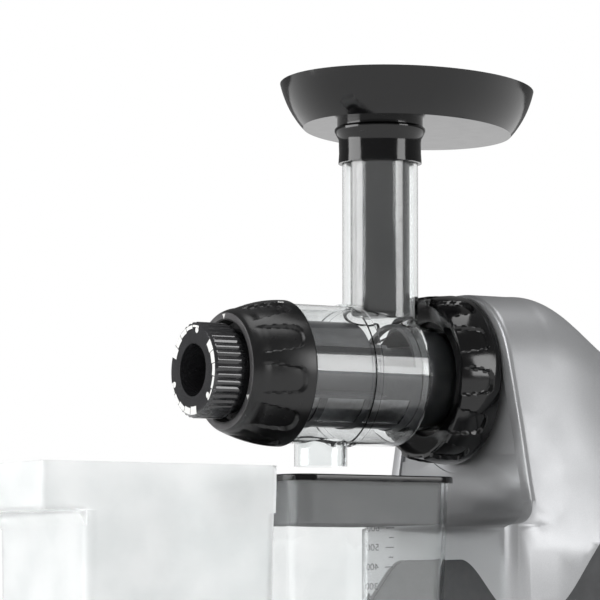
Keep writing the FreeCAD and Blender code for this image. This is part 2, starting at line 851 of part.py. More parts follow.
def make_auger():
    core_end = auger_rear_y
    cone_y = auger_front_y + nose_cone_len
    core = turned_y([
        (0, auger_front_y),
        (auger_nose_r, auger_front_y),
        (auger_core_front_r, cone_y),
        (auger_core_rear_r, core_end - 10.0),
        (flight_r - 1.0, core_end - 3.0),
        (flight_r - 1.0, core_end),
        (0, core_end),
    ])
    flight_y = cone_y + 1.0
    height = core_end - 3.0 - flight_y
    mean_r = (auger_nose_r + flight_r) / 2
    helix = Part.makeHelix(flight_pitch, height, mean_r)
    reach = flight_r - mean_r
    a = -flight_t / 2
    b = flight_t / 2
    tip = flight_t * 0.3
    section = polygon([V(mean_r - reach, 0, a), V(mean_r + reach, 0, -tip), V(mean_r + reach, 0, tip),
                       V(mean_r - reach, 0, b)])
    flight = Part.Wire(helix).makePipeShell([section], True, True)
    flight.rotate(V(0, 0, 0), V(1, 0, 0), -90)
    flight.translate(V(0, flight_y, axis_z))
    keep = cyl(flight_r, flight_y, core_end)
    auger = core.fuse(flight.common(keep))
    auger = auger.fuse(cyl(journal_r, core_end - 1, drum_rear_y + 0.2))
    tang = hexagon_y(tang_af, drum_rear_y, drum_rear_y + tang_len)
    return auger.fuse(tang).removeSplitter()


def hexagon_y(across_flats, y0, y1):
    r = across_flats / math.sqrt(3)
    points = []
    for i in range(6):
        a = math.radians(60 * i + 30)
        points.append(V(r * math.cos(a), y0, axis_z + r * math.sin(a)))
    return Part.Face(polygon(points)).extrude(V(0, y1 - y0, 0))


# Gear train

def involute(base_r, r):
    roll = math.sqrt(max(0.0, (r / base_r) ** 2 - 1))
    return roll - math.atan(roll)


def gear(teeth, module, y0, y1, x, z, phase_deg):
    pitch_r = module * teeth / 2
    alpha = math.radians(pressure_deg)
    base_r = pitch_r * math.cos(alpha)
    tip_r = pitch_r + addendum_k * module
    root_r = pitch_r - dedendum_k * module
    half_tooth = math.pi / (2 * teeth) - backlash / (2 * pitch_r)
    at_pitch = involute(base_r, pitch_r)
    start_r = max(base_r, root_r)
    flank = []
    steps = 5
    for i in range(steps + 1):
        r = start_r + (tip_r - start_r) * i / steps
        flank.append((r, half_tooth + at_pitch - involute(base_r, r)))
    points = []
    for tooth in range(teeth):
        middle = math.radians(phase_deg) + 2 * math.pi * tooth / teeth
        rising = [(r, middle - a) for r, a in flank]
        falling = [(r, middle + a) for r, a in reversed(flank)]
        foot_a = flank[0][1]
        outline = rising + falling
        if root_r < start_r:
            outline = [(root_r, middle - foot_a)] + outline + [(root_r, middle + foot_a)]
        points.extend(outline)
    corners = [V(x + r * math.cos(a), y0, z + r * math.sin(a)) for r, a in points]
    return Part.Face(polygon(corners)).extrude(V(0, y1 - y0, 0))


def bearing_of(x0, z0, x1, z1):
    return math.degrees(math.atan2(z1 - z0, x1 - x0))


def output_phase():
    return bearing_of(0, axis_z, inter_x, inter_z)


def inter_pinion_phase():
    back = bearing_of(inter_x, inter_z, 0, axis_z)
    return back + 180.0 / teeth_inter_pinion


def inter_gear_phase():
    return bearing_of(inter_x, inter_z, 0, motor_axis_z)


def motor_pinion_phase():
    back = bearing_of(0, motor_axis_z, inter_x, inter_z)
    return back + 180.0 / teeth_pinion


def make_output_gear():
    wheel = gear(teeth_output, module_2, gear2_y, gear2_y + face_2, 0, axis_z, output_phase())
    web = tube(r_output - 5.0, shaft_r + 6.0, gear2_y - 1, gear2_y + face_2 + 1)
    web = web.cut(cyl(r_output, gear2_y + 3.0, gear2_y + face_2 - 3.0))
    wheel = wheel.cut(web)
    return wheel.cut(cyl(shaft_r, gear2_y - 1, gear2_y + face_2 + 1))


def make_inter_gear():
    wheel = gear(teeth_inter, module_1, gear1_y, gear1_y + face_1, inter_x, inter_z, inter_gear_phase())
    holes = []
    for i in range(6):
        a = math.radians(60 * i + 20)
        r = r_inter * 0.62
        holes.append(cyl(5.0, gear1_y - 1, gear1_y + face_1 + 1, inter_x + r * math.cos(a),
                         inter_z + r * math.sin(a)))
    wheel = wheel.cut(fuse_plain(holes))
    return wheel.cut(cyl(axle_r + 3.0, gear1_y - 1, gear1_y + face_1 + 1, inter_x, inter_z))


def fuse_plain(shapes):
    return shapes[0].multiFuse(shapes[1:])


def make_inter_pinion():
    y0 = gear2_y - 0.5
    y1 = gear2_y + face_2 + 0.5
    pinion = gear(teeth_inter_pinion, module_2, y0, y1, inter_x, inter_z, inter_pinion_phase())
    sleeve = cyl(axle_r + 3.0, y0, gear1_y + face_1 + 1.0, inter_x, inter_z)
    pinion = pinion.fuse(sleeve)
    return pinion.cut(cyl(axle_r + running_gap, y0 - 1, gear1_y + face_1 + 2, inter_x, inter_z))


def make_motor_pinion():
    y0 = gear1_y - 1.0
    pinion = gear(teeth_pinion, module_1, y0, gear1_y + face_1 + 1.0, 0, motor_axis_z,
                  motor_pinion_phase())
    return pinion.cut(cyl(pinion_bore_r, y0 - 1, gear1_y + face_1 + 3, 0, motor_axis_z))


def make_drive_shaft():
    y0 = mount_face_y + 1.5
    front = cyl(shaft_r, y0, gear2_y + face_2)
    rear = cyl(shaft_rear_r, gear2_y + face_2 - 1, cover_y + case_wall)
    socket = hexagon_y(tang_af + 2 * tang_gap, y0 - 1, y0 + socket_len)
    return front.fuse(rear).cut(socket)


def hull_of(c0, r0, c1, r1, y0, y1):
    # Two discs and the two straight sides that touch both.
    dx = c1[0] - c0[0]
    dz = c1[1] - c0[1]
    d = math.hypot(dx, dz)
    lean = math.acos((r0 - r1) / d)
    head = math.atan2(dz, dx)
    def on(c, r, a):
        return V(c[0] + r * math.cos(a), y0, c[1] + r * math.sin(a))
    quad = polygon([on(c0, r0, head + lean), on(c1, r1, head + lean),
                    on(c1, r1, head - lean), on(c0, r0, head - lean)])
    middle = Part.Face(quad).extrude(V(0, y1 - y0, 0))
    return fuse([middle, cyl(r0, y0, y1, c0[0], c0[1]), cyl(r1, y0, y1, c1[0], c1[1])])


def case_form(extra, y0, y1):
    out_c = (0.0, axis_z)
    int_c = (inter_x, inter_z)
    mot_c = (0.0, motor_axis_z)
    out_r = r_output + module_2 + case_clear + extra
    int_r = r_inter + module_1 + case_clear + extra
    mot_r = motor_pad_r - case_wall + extra
    first = hull_of(out_c, out_r, int_c, int_r, y0, y1)
    second = hull_of(int_c, int_r, mot_c, mot_r, y0, y1)
    third = hull_of(out_c, out_r, mot_c, mot_r, y0, y1)
    return fuse([first, second, third])


def case_screw_places():
    # Just outside the room that the gears need, round each of the three centres.
    out_r = r_output + module_2 + case_clear + screw_r + case_screw_margin
    int_r = r_inter + module_1 + case_clear + screw_r + case_screw_margin
    spots = [(0.0, axis_z, out_r, deg) for deg in case_screw_degs]
    spots.append((inter_x, inter_z, int_r, inter_screw_deg))
    places = []
    for x, z, r, deg in spots:
        a = math.radians(deg)
        places.append((x + r * math.cos(a), z + r * math.sin(a)))
    return places


def case_ears(y0, y1):
    return [cyl(screw_head_r + 1.6, y0, y1, x, z) for x, z in case_screw_places()]


def make_gearbox_case():
    outer = case_form(case_wall, case_front_y, cover_y)
    case = fuse([outer] + case_ears(case_front_y, cover_y))
    case = case.cut(case_form(0, case_front_y + case_wall, cover_y + 1))
    spigot = cyl(mount_hub_r + 2.0, panel_y + 0.1, case_front_y + 1)
    spigot = spigot.cut(cyl(mount_hub_r + 0.3, panel_y - 1, panel_back_y))
    case = case.fuse(spigot)
    bush_r = shaft_r + bush_wall
    boss = cyl(bush_r + 3.0, case_front_y, case_front_y + case_wall + gear_gap - 0.6)
    case = case.fuse(boss)
    axle_boss = cyl(axle_r + 4.0, case_front_y, case_front_y + case_wall + gear_gap - 1.2,
                    inter_x, inter_z)
    case = case.fuse(axle_boss)
    case = case.cut(cyl(shaft_r + 1.0, panel_y - 5, cover_y - 1))
    case = case.cut(cyl(bush_r, case_front_y + bush_shoulder, case_front_y + bush_shoulder + bush_w))
    case = case.cut(cyl(axle_r, case_front_y + 1.0, cover_y, inter_x, inter_z))
    for x, z in case_screw_places():
        case = case.cut(cyl(screw_r, cover_y - 12.0, cover_y + 1, x, z))
    return case.removeSplitter()


def make_gearbox_cover():
    plate = fuse([case_form(case_wall, cover_y, cover_y + case_wall)]
                 + case_ears(cover_y, cover_y + case_wall))
    bush_r = shaft_rear_r + bush_wall
    rear_boss = cyl(bush_r + 3.0, cover_y, cover_y + case_wall + 4.0)
    cover = plate.fuse(rear_boss)
    cover = cover.cut(cyl(bush_r, cover_y - 1, cover_y + bush_w))
    cover = cover.cut(cyl(axle_r, cover_y - 1, cover_y + case_wall - 1.0, inter_x, inter_z))
    cover = cover.cut(cyl(bearing_r + 3.0, cover_y - 1, cover_y + case_wall + 1, 0, motor_axis_z))
    for x, z in case_screw_places():
        cover = cover.cut(cyl(screw_r + 0.2, cover_y - 1, cover_y + case_wall + 1, x, z))
    return cover.removeSplitter()


def make_bushes():
    front_y0 = case_front_y + bush_shoulder
    front = tube(shaft_r + bush_wall, shaft_r + running_gap, front_y0, front_y0 + bush_w - bush_shoulder)
    rear = tube(shaft_rear_r + bush_wall, shaft_rear_r + running_gap, cover_y, cover_y + bush_w)
    return Part.makeCompound([front, rear])


def make_inter_axle():
    return cyl(axle_r, case_front_y + 1.0, cover_y + case_wall - 1.0, inter_x, inter_z)


def make_case_screws():
    screws = []
    for x, z in case_screw_places():
        shank = cyl(screw_r, cover_y - 11.0, cover_y + case_wall, x, z)
        head = cyl(screw_head_r, cover_y + case_wall, cover_y + case_wall + screw_head_h, x, z)
        slot = cyl(screw_head_r * 0.4, cover_y + case_wall + 0.8, cover_y + case_wall + 4, x, z)
        screws.append(shank.fuse(head).cut(slot))
    return Part.makeCompound(screws)


# Motor

def make_stator():
    body = tube(motor_r, rotor_r + air_gap, stack_y, stack_end_y, 0, motor_axis_z)
    flats = block(-motor_r * 0.86, motor_r * 0.86, stack_y - 1, stack_end_y + 1,
                  motor_axis_z - motor_r * 0.86, motor_axis_z + motor_r * 0.86)
    body = body.common(flats)
    for x, z in motor_bolt_places():
        body = body.cut(cyl(screw_r + 0.1, stack_y - 1, stack_end_y + 1, x, z))
    return body


def make_windings():
    coils = []
    for y0, y1 in ((stack_y - coil_len + 1.0, stack_y), (stack_end_y, stack_end_y + coil_len - 1.0)):
        ring = tube(motor_r * 0.80, rotor_r + 4.0, y0, y1, 0, motor_axis_z)
        edges = [e for e in ring.Edges if e.BoundBox.YLength < 0.01]
        coils.append(ring.makeFillet(2.5, edges))
    return Part.makeCompound(coils)


def motor_bolt_places():
    places = []
    for i in range(4):
        a = math.radians(45 + 90 * i)
        places.append((motor_bolt_r * math.cos(a), motor_axis_z + motor_bolt_r * math.sin(a)))
    return places


def make_bracket(y0, seat_front):
    plate = cyl(motor_r + 3.0, y0, y0 + bracket_t, 0, motor_axis_z)
    boss_y0 = y0 if not seat_front else y0 - bearing_w
    boss = cyl(bearing_r + 2.5, boss_y0, boss_y0 + bearing_w + bracket_t, 0, motor_axis_z)
    post_y0 = y0 if not seat_front else stack_end_y
    post_y1 = stack_y if not seat_front else y0 + bracket_t
    posts = [cyl(3.4, post_y0, post_y1, x, z) for x, z in motor_bolt_places()]
    bracket = fuse([plate, boss] + posts)
    seat_y0 = y0 + bracket_t if not seat_front else y0 - bearing_w - 1
    seat_y1 = y0 + bracket_t + bearing_w + 1 if not seat_front else y0
    bracket = bracket.cut(cyl(bearing_r, seat_y0, seat_y1, 0, motor_axis_z))
    bracket = bracket.cut(cyl(motor_shaft_r + 1.0, y0 - 20, y0 + 20, 0, motor_axis_z))
    for i in range(4):
        a = math.radians(90 * i)
        hole = cyl(6.0, y0 - 1, y0 + bracket_t + 1, motor_r * 0.68 * math.cos(a),
                   motor_axis_z + motor_r * 0.68 * math.sin(a))
        bracket = bracket.cut(hole)
    for x, z in motor_bolt_places():
        bracket = bracket.cut(cyl(screw_r, y0 - 40, y0 + 40, x, z))
    return bracket.removeSplitter()


def make_front_bracket():
    return make_bracket(motor_front_y, False)


def make_rear_bracket():
    return make_bracket(motor_rear_y, True)


def make_bearings():
    front = tube(bearing_r, motor_shaft_r + running_gap, motor_front_y + bracket_t,
                 motor_front_y + bracket_t + bearing_w, 0, motor_axis_z)
    rear = tube(bearing_r, motor_shaft_r + running_gap, motor_rear_y - bearing_w,
                motor_rear_y, 0, motor_axis_z)
    return Part.makeCompound([front, rear])


def make_motor_bolts():
    bolts = []
    head_y = motor_rear_y + bracket_t
    for x, z in motor_bolt_places():
        shank = cyl(screw_r, motor_front_y + 0.5, head_y, x, z)
        head = cyl(screw_head_r, head_y, head_y + screw_head_h, x, z)
        slot = cyl(screw_head_r * 0.4, head_y + 0.8, head_y + 4, x, z)
        bolts.append(shank.fuse(head).cut(slot))
    return Part.makeCompound(bolts)


def make_rotor_core():
    core = cyl(rotor_r, stack_y, stack_end_y, 0, motor_axis_z)
    rings = [tube(rotor_r - 1.5, rotor_r - 7.0, stack_y - 4.0, stack_y, 0, motor_axis_z),
             tube(rotor_r - 1.5, rotor_r - 7.0, stack_end_y, stack_end_y + 4.0, 0, motor_axis_z)]
    core = fuse([core] + rings)
    return core.cut(cyl(motor_shaft_r, stack_y - 1, stack_end_y + 1, 0, motor_axis_z))


def make_motor_shaft():
    main = cyl(motor_shaft_r, gear1_y + face_1 + 1.0, fan_y + fan_w + 2.0, 0, motor_axis_z)
    nose = cyl(pinion_bore_r, gear1_y - 1.0, gear1_y + face_1 + 1.5, 0, motor_axis_z)
    return main.fuse(nose)


def make_fan():
    hub = tube(9.0, motor_shaft_r, fan_y, fan_y + fan_w, 0, motor_axis_z)
    disc = tube(fan_r, motor_shaft_r, fan_y + fan_w - 1.8, fan_y + fan_w, 0, motor_axis_z)
    blades = []
    for i in range(fan_blades):
        blade = block(8.5, fan_r, fan_y, fan_y + fan_w - 1.0, motor_axis_z - 0.8, motor_axis_z + 0.8)
        blade.rotate(V(8.5, 0, motor_axis_z), V(0, 1, 0), 18)
        blade.rotate(V(0, 0, motor_axis_z), V(0, 1, 0), i * 360.0 / fan_blades)
        blades.append(blade)
    fan = fuse([hub, disc] + blades)
    return fan.common(tube(fan_r, motor_shaft_r, fan_y, fan_y + fan_w, 0, motor_axis_z))


def make_cradle():
    low = base_low_z + base_t
    width = motor_r * 1.15
    saddle_y = [(motor_front_y, motor_front_y + bracket_t), (motor_rear_y, motor_rear_y + bracket_t)]
    parts = []
    top = motor_axis_z - motor_r * 0.35
    for y0, y1 in saddle_y:
        wall = block(-width, width, y0 - 0.5, y1 + 0.5, low, top)
        parts.append(wall.cut(cyl(motor_r + 3.0, y0 - 1, y1 + 1, 0, motor_axis_z)))
    parts.append(block(-width, width, saddle_y[0][0] - 0.5, saddle_y[1][1] + 0.5, low, low + cradle_t))
    cradle = fuse(parts)
    for x, y in cradle_screw_places():
        cradle = cradle.cut(cyl_z(screw_r, low - 1, low + cradle_t + 1, x, y))
    return cradle


def cradle_screw_places():
    places = []
    for sx in (-1, 1):
        for y in (motor_front_y + 12.0, motor_rear_y - 12.0):
            places.append((sx * motor_r * 0.95, y))
    return places


def make_cradle_screws():
    low = base_low_z + base_t
    screws = []
    for x, y in cradle_screw_places():
        shank = cyl_z(screw_r, low, low + cradle_t, x, y)
        head = cyl_z(screw_head_r, low + cradle_t, low + cradle_t + screw_head_h, x, y)
        screws.append(shank.fuse(head).cut(cyl_z(1.5, low + cradle_t + 0.8, low + cradle_t + 5, x, y)))
    return Part.makeCompound(screws)


# Electrical parts

def make_switch_housing():
    x0 = switch_x - switch_w / 2
    x1 = switch_x + switch_w / 2
    z0 = switch_z - switch_h / 2
    z1 = switch_z + switch_h / 2
    rim = switch_rim
    bezel = block(x0 - rim, x1 + rim, rear_y, rear_y + rim, z0 - rim, z1 + rim)
    bezel = bezel.makeFillet(0.6 * rim, [e for e in bezel.Edges if e.BoundBox.YMin > rear_y + rim - 0.1])
    body = block(x0, x1, rear_y - switch_deep, rear_y + 0.5, z0, z1)
    housing = bezel.fuse(body)
    well = block(x0 + rim, x1 - rim, rear_y - switch_well, rear_y + rim + 1, z0 + rim, z1 - rim)
    return housing.cut(well).removeSplitter()


def rocker_pivot_y():
    return rear_y - rocker_sink


def make_rocker():
    half = switch_h / 2 - switch_rim - rocker_gap
    y0 = rocker_pivot_y()
    face = [
        V(0, y0 - 1.5, switch_z - half), V(0, y0 - 1.5, switch_z + half),
        V(0, y0 + rocker_out, switch_z + half), V(0, y0 + rocker_mid_out, switch_z),
        V(0, y0 + rocker_out, switch_z - half),
    ]
    width = switch_w - 2 * switch_rim - rocker_gap
    wedge = Part.Face(polygon(face)).extrude(V(width, 0, 0))
    wedge.translate(V(switch_x - width / 2, 0, 0))
    pin = Part.makeCylinder(1.6, width + 1.0, V(switch_x - width / 2 - 0.5, y0, switch_z), V(1, 0, 0))
    keep = Part.makeCylinder(half, width + 2, V(switch_x - width / 2 - 1, y0 + 0.2, switch_z), V(1, 0, 0))
    return wedge.common(keep).fuse(pin)


def make_cord_inlet():
    skin_y = rear_y - shell_t - skirt_gap
    flange = cyl(inlet_r + 2.0, skin_y, skin_y + 2.0, inlet_x, inlet_z)
    body = cyl(inlet_r - 1.5, skin_y - 14.0, skin_y + 1.0, inlet_x, inlet_z)
    bore = cyl(inlet_bore_r, skin_y - 20.0, skin_y + 5.0, inlet_x, inlet_z)
    return flange.fuse(body).cut(bore)


def make_circuit_board():
    low = base_low_z + base_t + 6.0
    x0 = -board_w / 2
    y0 = front_y + board_setback
    board = block(x0, x0 + board_w, y0, y0 + board_d, low, low + board_t)
    parts = [
        block(x0 + 6, x0 + 22, y0 + 6, y0 + 20, low + board_t, low + board_t + 14),
        block(x0 + 28, x0 + 40, y0 + 8, y0 + 30, low + board_t, low + board_t + 10),
        cyl_z(5.0, low + board_t, low + board_t + 16, x0 + 50, y0 + 14),
        cyl_z(5.0, low + board_t, low + board_t + 16, x0 + 50, y0 + 28),
        block(x0 + 8, x0 + 24, y0 + 28, y0 + 38, low + board_t, low + board_t + 8),
    ]
    posts = []
    for sx in (x0 + 4, x0 + board_w - 4):
        for sy in (y0 + 4, y0 + board_d - 4):
            posts.append(cyl_z(standoff_r, base_low_z + base_t, low, sx, sy))
    return fuse([board] + parts + posts)


def make_capacitor():
    z = base_low_z + base_t + capacitor_r
    y = rear_y - capacitor_setback
    x0 = -capacitor_len
    can = Part.makeCylinder(capacitor_r, capacitor_len, V(x0, y, z), V(1, 0, 0))
    can = can.makeFillet(1.5, [e for e in can.Edges if e.BoundBox.XLength < 0.01])
    tabs = [block(x0 - 7, x0 + 1, y + s - 2, y + s + 2, z - 0.4, z + 0.4) for s in (-6, 6)]
    return fuse([can] + tabs)


# End cap, bezel, seal, nozzle and dial

def cap_radius(y):
    # The cap's side bulges out from its front edge to its rear edge.
    t = (y - cap_front_y - cap_front_edge) / (cap_len - cap_front_edge - cap_rear_edge)
    t = min(1.0, max(0.0, t))
    return cap_front_r + (cap_rear_r - cap_front_r) * math.sin(t * math.pi / 2) ** 0.85


def cap_outline():
    steps = 8
    y0 = cap_front_y + cap_front_edge
    y1 = cap_rear_y - cap_rear_edge
    places = [y0 + (y1 - y0) * i / steps for i in range(steps + 1)]
    return [(cap_radius(y), y) for y in places]


def make_end_cap():
    outline = [(cap_front_r - cap_front_edge, cap_front_y)] + cap_outline()
    outline.append((cap_rear_r - cap_rear_edge, cap_rear_y))
    bore_r = nose_r + cap_lug_out + cap_gap
    outline += [
        (barrel_r + cap_gap, cap_rear_y),
        (barrel_r + cap_gap, barrel_front_y - cap_gap),
        (bore_r, barrel_front_y - cap_gap),
        (bore_r, cap_inner_y),
        (tube_bore_r, cap_inner_y),
        (tube_bore_r, cap_back_wall_y - tube_len),
        (tube_r, cap_back_wall_y - tube_len),
        (tube_r, cap_back_wall_y),
        (cap_pocket_r, cap_back_wall_y),
        (cap_pocket_r, cap_front_y),
    ]
    cap = turned_y(outline)
    for i in range(lug_count):
        lug_y = drum_front_y + cap_lug_from_front + lug_t + cap_gap
        start = i * 360.0 / lug_count - cap_lug_angle / 2
        lug = sector(bore_r + 0.5, lug_y, lug_y + cap_lug_t, start, cap_lug_angle)
        cap = cap.fuse(lug.cut(cyl(nose_r + cap_gap, lug_y - 1, lug_y + 4)))
    pitch = 360.0 / cap_recesses
    sections = []
    for t, share, depth in cap_recess_steps:
        y = cap_front_y + cap_len * t
        sections.append((y, pitch * share, cap_radius(y) - cap_recess_deep * depth))
    for i in range(cap_recesses):
        at_deg = cap_recess_phase + i * pitch
        cap = cap.cut(grip_pocket(sections, cap_rear_r + pocket_reach, at_deg))
    for s in (-1, 1):
        slot = block(-key_w / 2 - slide_gap, key_w / 2 + slide_gap, cap_back_wall_y - tube_len - 1,
                     cap_back_wall_y + 1.5, axis_z + s * tube_bore_r - key_h - slide_gap,
                     axis_z + s * tube_bore_r + key_h + slide_gap)
        cap = cap.cut(slot)
    cap = cap.cut(tube(cap_front_r - 0.9, cap_pocket_r + 0.8, cap_front_y - 1, cap_front_y + bezel_t))
    return cap.removeSplitter()


def make_cap_bezel():
    return tube(cap_front_r - 0.9, cap_pocket_r + 0.8, cap_front_y - 0.3, cap_front_y + bezel_t)


def make_cap_seal():
    return tube(nose_r + 1.0, nose_r - barrel_wall, cap_inner_y, drum_front_y - 0.1)


def make_nozzle():
    y0 = cap_back_wall_y - tube_len + 2.0
    y1 = y0 + nozzle_len
    body = turned_y([
        (nozzle_bore_r, y0),
        (tube_bore_r - slide_gap, y0),
        (tube_bore_r - slide_gap, y1),
        (nozzle_bore_r + 1.6, y1),
        (nozzle_bore_r, y1 - 3.0),
    ])
    keys = []
    for s in (-1, 1):
        z = axis_z + s * (tube_bore_r - slide_gap)
        keys.append(block(-key_w / 2, key_w / 2, y0, y0 + 7.0, z - key_h, z + key_h))
    key_ring = tube(tube_bore_r + key_h, nozzle_bore_r + 0.5, y0 - 1, y1)
    return body.fuse(fuse_plain(keys).common(key_ring)).removeSplitter()


def make_dial():
    barrel = cyl(dial_r - dial_rib_h, dial_front_y + dial_face_t, dial_rear_y)
    ribs = []
    for i in range(dial_ribs):
        rib = cyl(1.25, dial_front_y + dial_face_t + 0.6, dial_rear_y, dial_r - 1.25, axis_z)
        ribs.append(about_axis(rib, i * 360.0 / dial_ribs))
    neck = cyl(dial_neck_r, dial_rear_y, cap_back_wall_y - 0.3)
    dial = fuse([barrel, neck] + ribs)
    dial = dial.cut(cyl(dial_bore_r, dial_front_y - 1, cap_back_wall_y))
    guide_y = cap_back_wall_y - tube_len - 0.6
    return dial.cut(cyl(tube_r + slide_gap, guide_y, cap_back_wall_y))


def make_dial_face():
    return turned_y([
        (dial_bore_r, dial_front_y),
        (dial_r - 1.2, dial_front_y),
        (dial_r - dial_rib_h, dial_front_y + 0.4),
        (dial_r - dial_rib_h, dial_front_y + dial_face_t),
        (dial_bore_r, dial_front_y + dial_face_t),
    ])


# Hopper tray and plunger

def oval(a, b, z):
    ellipse = Part.Ellipse(V(0, 0, z), a, b)
    wire = Part.Wire(ellipse.toShape())
    wire.rotate(V(0, 0, 0), V(0, 0, 1), tray_turn_deg)
    wire.translate(V(tray_x, tray_y, 0))
    return wire


def tray_solid(less, z0, z1):
    mid = 0.45
    a0 = tray_a - tray_inset - less
    b0 = tray_b - tray_inset - less
    low = oval(a0, b0, z0)
    bulge = tray_inset * (mid + 0.16)
    middle = oval(a0 + bulge, b0 + bulge, z0 + (z1 - z0) * mid)
    high = oval(a0 + tray_inset, b0 + tray_inset, z1)
    return Part.makeLoft([low, middle, high], True, False)


def make_tray():
    bowl = tray_solid(0, tray_floor_z, tray_rim_z)
    inner = tray_solid(tray_wall, tray_floor_z, tray_rim_z)
    inner.translate(V(0, 0, tray_wall))
    bowl = bowl.cut(inner)
    bore_r = chute_r + collar_gap
    collar = turned_z([
        (bore_r, collar_low_z),
        (collar_r, collar_low_z),
        (collar_r - 0.4, collar_low_z + 6.0),
        (collar_r - 0.2, collar_low_z + 14.0),
        (collar_flare_r, chute_top_z - 1.5),
        (collar_flare_r, chute_top_z),
        (collar_lip_r, chute_top_z + 1.4),
        (collar_lip_r, tray_floor_z + 0.5),
        (chute_r - chute_wall, tray_floor_z + 0.5),
        (chute_r - chute_wall, chute_top_z + 0.2),
        (bore_r, chute_top_z + 0.2),
    ], 0, chute_y)
    tray = bowl.fuse(collar)
    tray = tray.cut(cyl_z(chute_r - chute_wall, collar_low_z - 1, tray_floor_z + tray_wall + 1,
                          0, chute_y))
    return tray.removeSplitter()


def make_plunger():
    top = tray_floor_z + tray_wall + 0.4
    rod = cyl_z(plunger_r, plunger_low_z, top, 0, chute_y)
    rod = rod.makeFillet(2.0, [e for e in rod.Edges if e.BoundBox.ZMax < plunger_low_z + 0.1])
    hollow = cyl_z(plunger_r - plunger_wall, plunger_low_z + 3.0, top + 1, 0, chute_y)
    return rod.cut(hollow)


def make_plunger_cap():
    z0 = tray_floor_z + tray_wall + 0.4
    z1 = z0 + handle_h
    cap = cyl_z(handle_r, z0, z1, 0, chute_y)
    cap = cap.makeFillet(5.0, [e for e in cap.Edges if e.BoundBox.ZMin > z1 - 0.1])
    hollow = cyl_z(handle_r - handle_wall, z0 - 1, z1 - 3.0, 0, chute_y)
    plug = cyl_z(plunger_r - plunger_wall, z0 - 8.0, z1 - 2.5, 0, chute_y)
    seat = cyl_z(handle_r - 0.5, z0, z0 + 2.0, 0, chute_y)
    return cap.cut(hollow).fuse(plug).fuse(seat).removeSplitter()


# Cup, lid and bin

def box_loft(x_half, y0, y1, z0, z1, draft, r):
    low = rounded_rect(-x_half + draft, x_half - draft, y0 + draft, y1 - draft, z0, r)
    high = rounded_rect(-x_half, x_half, y0, y1, z1, r)
    return Part.makeLoft([low, high], True, True)


def cup_solid(less, z0, z1, draft):
    x_half = cup_w / 2 - lid_over - less
    return box_loft(x_half, cup_front_y + lid_over + less, cup_rear_y - lid_over - less, z0, z1,
                    draft, max(1.0, cup_corner_r - less))


def make_cup():
    top = cup_top_z - lid_t
    cup = cup_solid(0, 0, top, cup_draft)
    cup = cup.cut(cup_solid(cup_wall, cup_foot_h + cup_floor_t, top + 0.001, cup_draft))
    under = cup_solid(cup_draft + 3.0, -1, cup_foot_h, 0)
    return cup.cut(under)


def make_lid():
    z1 = cup_top_z
    z0 = z1 - lid_t
    wire = rounded_rect(-cup_w / 2, cup_w / 2, cup_front_y, cup_rear_y, z0, cup_corner_r + lid_over)
    plate = Part.Face(wire).extrude(V(0, 0, lid_t))
    plate = plate.makeFillet(1.0, [e for e in plate.Edges if e.BoundBox.ZMin > z1 - 0.1])
    less = cup_wall + lid_skirt_gap + lid_skirt_seat
    skirt = cup_solid(less, z0 - lid_skirt, z0 + 0.5, 0.6)
    hollow = cup_solid(less + lid_skirt_t, z0 - lid_skirt - 1, z0 - 1.2, 0.6)
    lid = plate.fuse(skirt.cut(hollow))
    well = cup_solid(less + lid_well_rim, z0, z1 + 1, 0.0)
    lid = lid.cut(well)
    lid_y = (cup_front_y + cup_rear_y) / 2
    return lid.cut(cyl_z(lid_mesh_r, z0 - 6, z1 + 1, 0, lid_y)).removeSplitter()


def make_lid_mesh():
    z1 = cup_top_z - lid_t
    lid_y = (cup_front_y + cup_rear_y) / 2
    return cyl_z(lid_mesh_r, z1 - 1.2, z1 - 1.2 + lid_mesh_t, 0, lid_y)


def make_bin():
    x_half = bin_w / 2
    total = bin_top_z
    def half(z):
        return bin_draft * (1 - z / total)
    def part(less, z0, z1, y_front, r):
        d0 = half(z0) + less
        d1 = half(z1) + less
        r = max(0.8, r - less)
        low = rounded_rect(-x_half + d0, x_half - d0, y_front + d0, bin_rear_y - d0, z0, r)
        high = rounded_rect(-x_half + d1, x_half - d1, y_front + d1, bin_rear_y - d1, z1, r)
        return Part.makeLoft([low, high], True, True)
    step_y = bin_front_y + bin_step
    upper = part(0, bin_ledge_z, bin_top_z, bin_front_y, bin_upper_corner_r)
    lower = part(0, 0, bin_ledge_z + 1, step_y, bin_lower_corner_r)
    fillet_y = step_y - bin_step_r
    fill = block(-x_half + 3, x_half - 3, fillet_y + 0.4, step_y + 3, bin_ledge_z - bin_step_r, bin_ledge_z + 1)
    round_cut = Part.makeCylinder(bin_step_r, bin_w, V(-x_half, fillet_y + 0.4, bin_ledge_z - bin_step_r),
                                  V(1, 0, 0))
    fill = fill.cut(round_cut)
    outer = fuse([upper, lower, fill])
    upper_in = part(bin_wall, bin_ledge_z + bin_wall, bin_top_z + 0.001, bin_front_y, bin_upper_corner_r)
    lower_in = part(bin_wall, bin_wall, bin_ledge_z + bin_wall + 1, step_y, bin_lower_corner_r)
    return outer.cut(upper_in).cut(lower_in).removeSplitter()


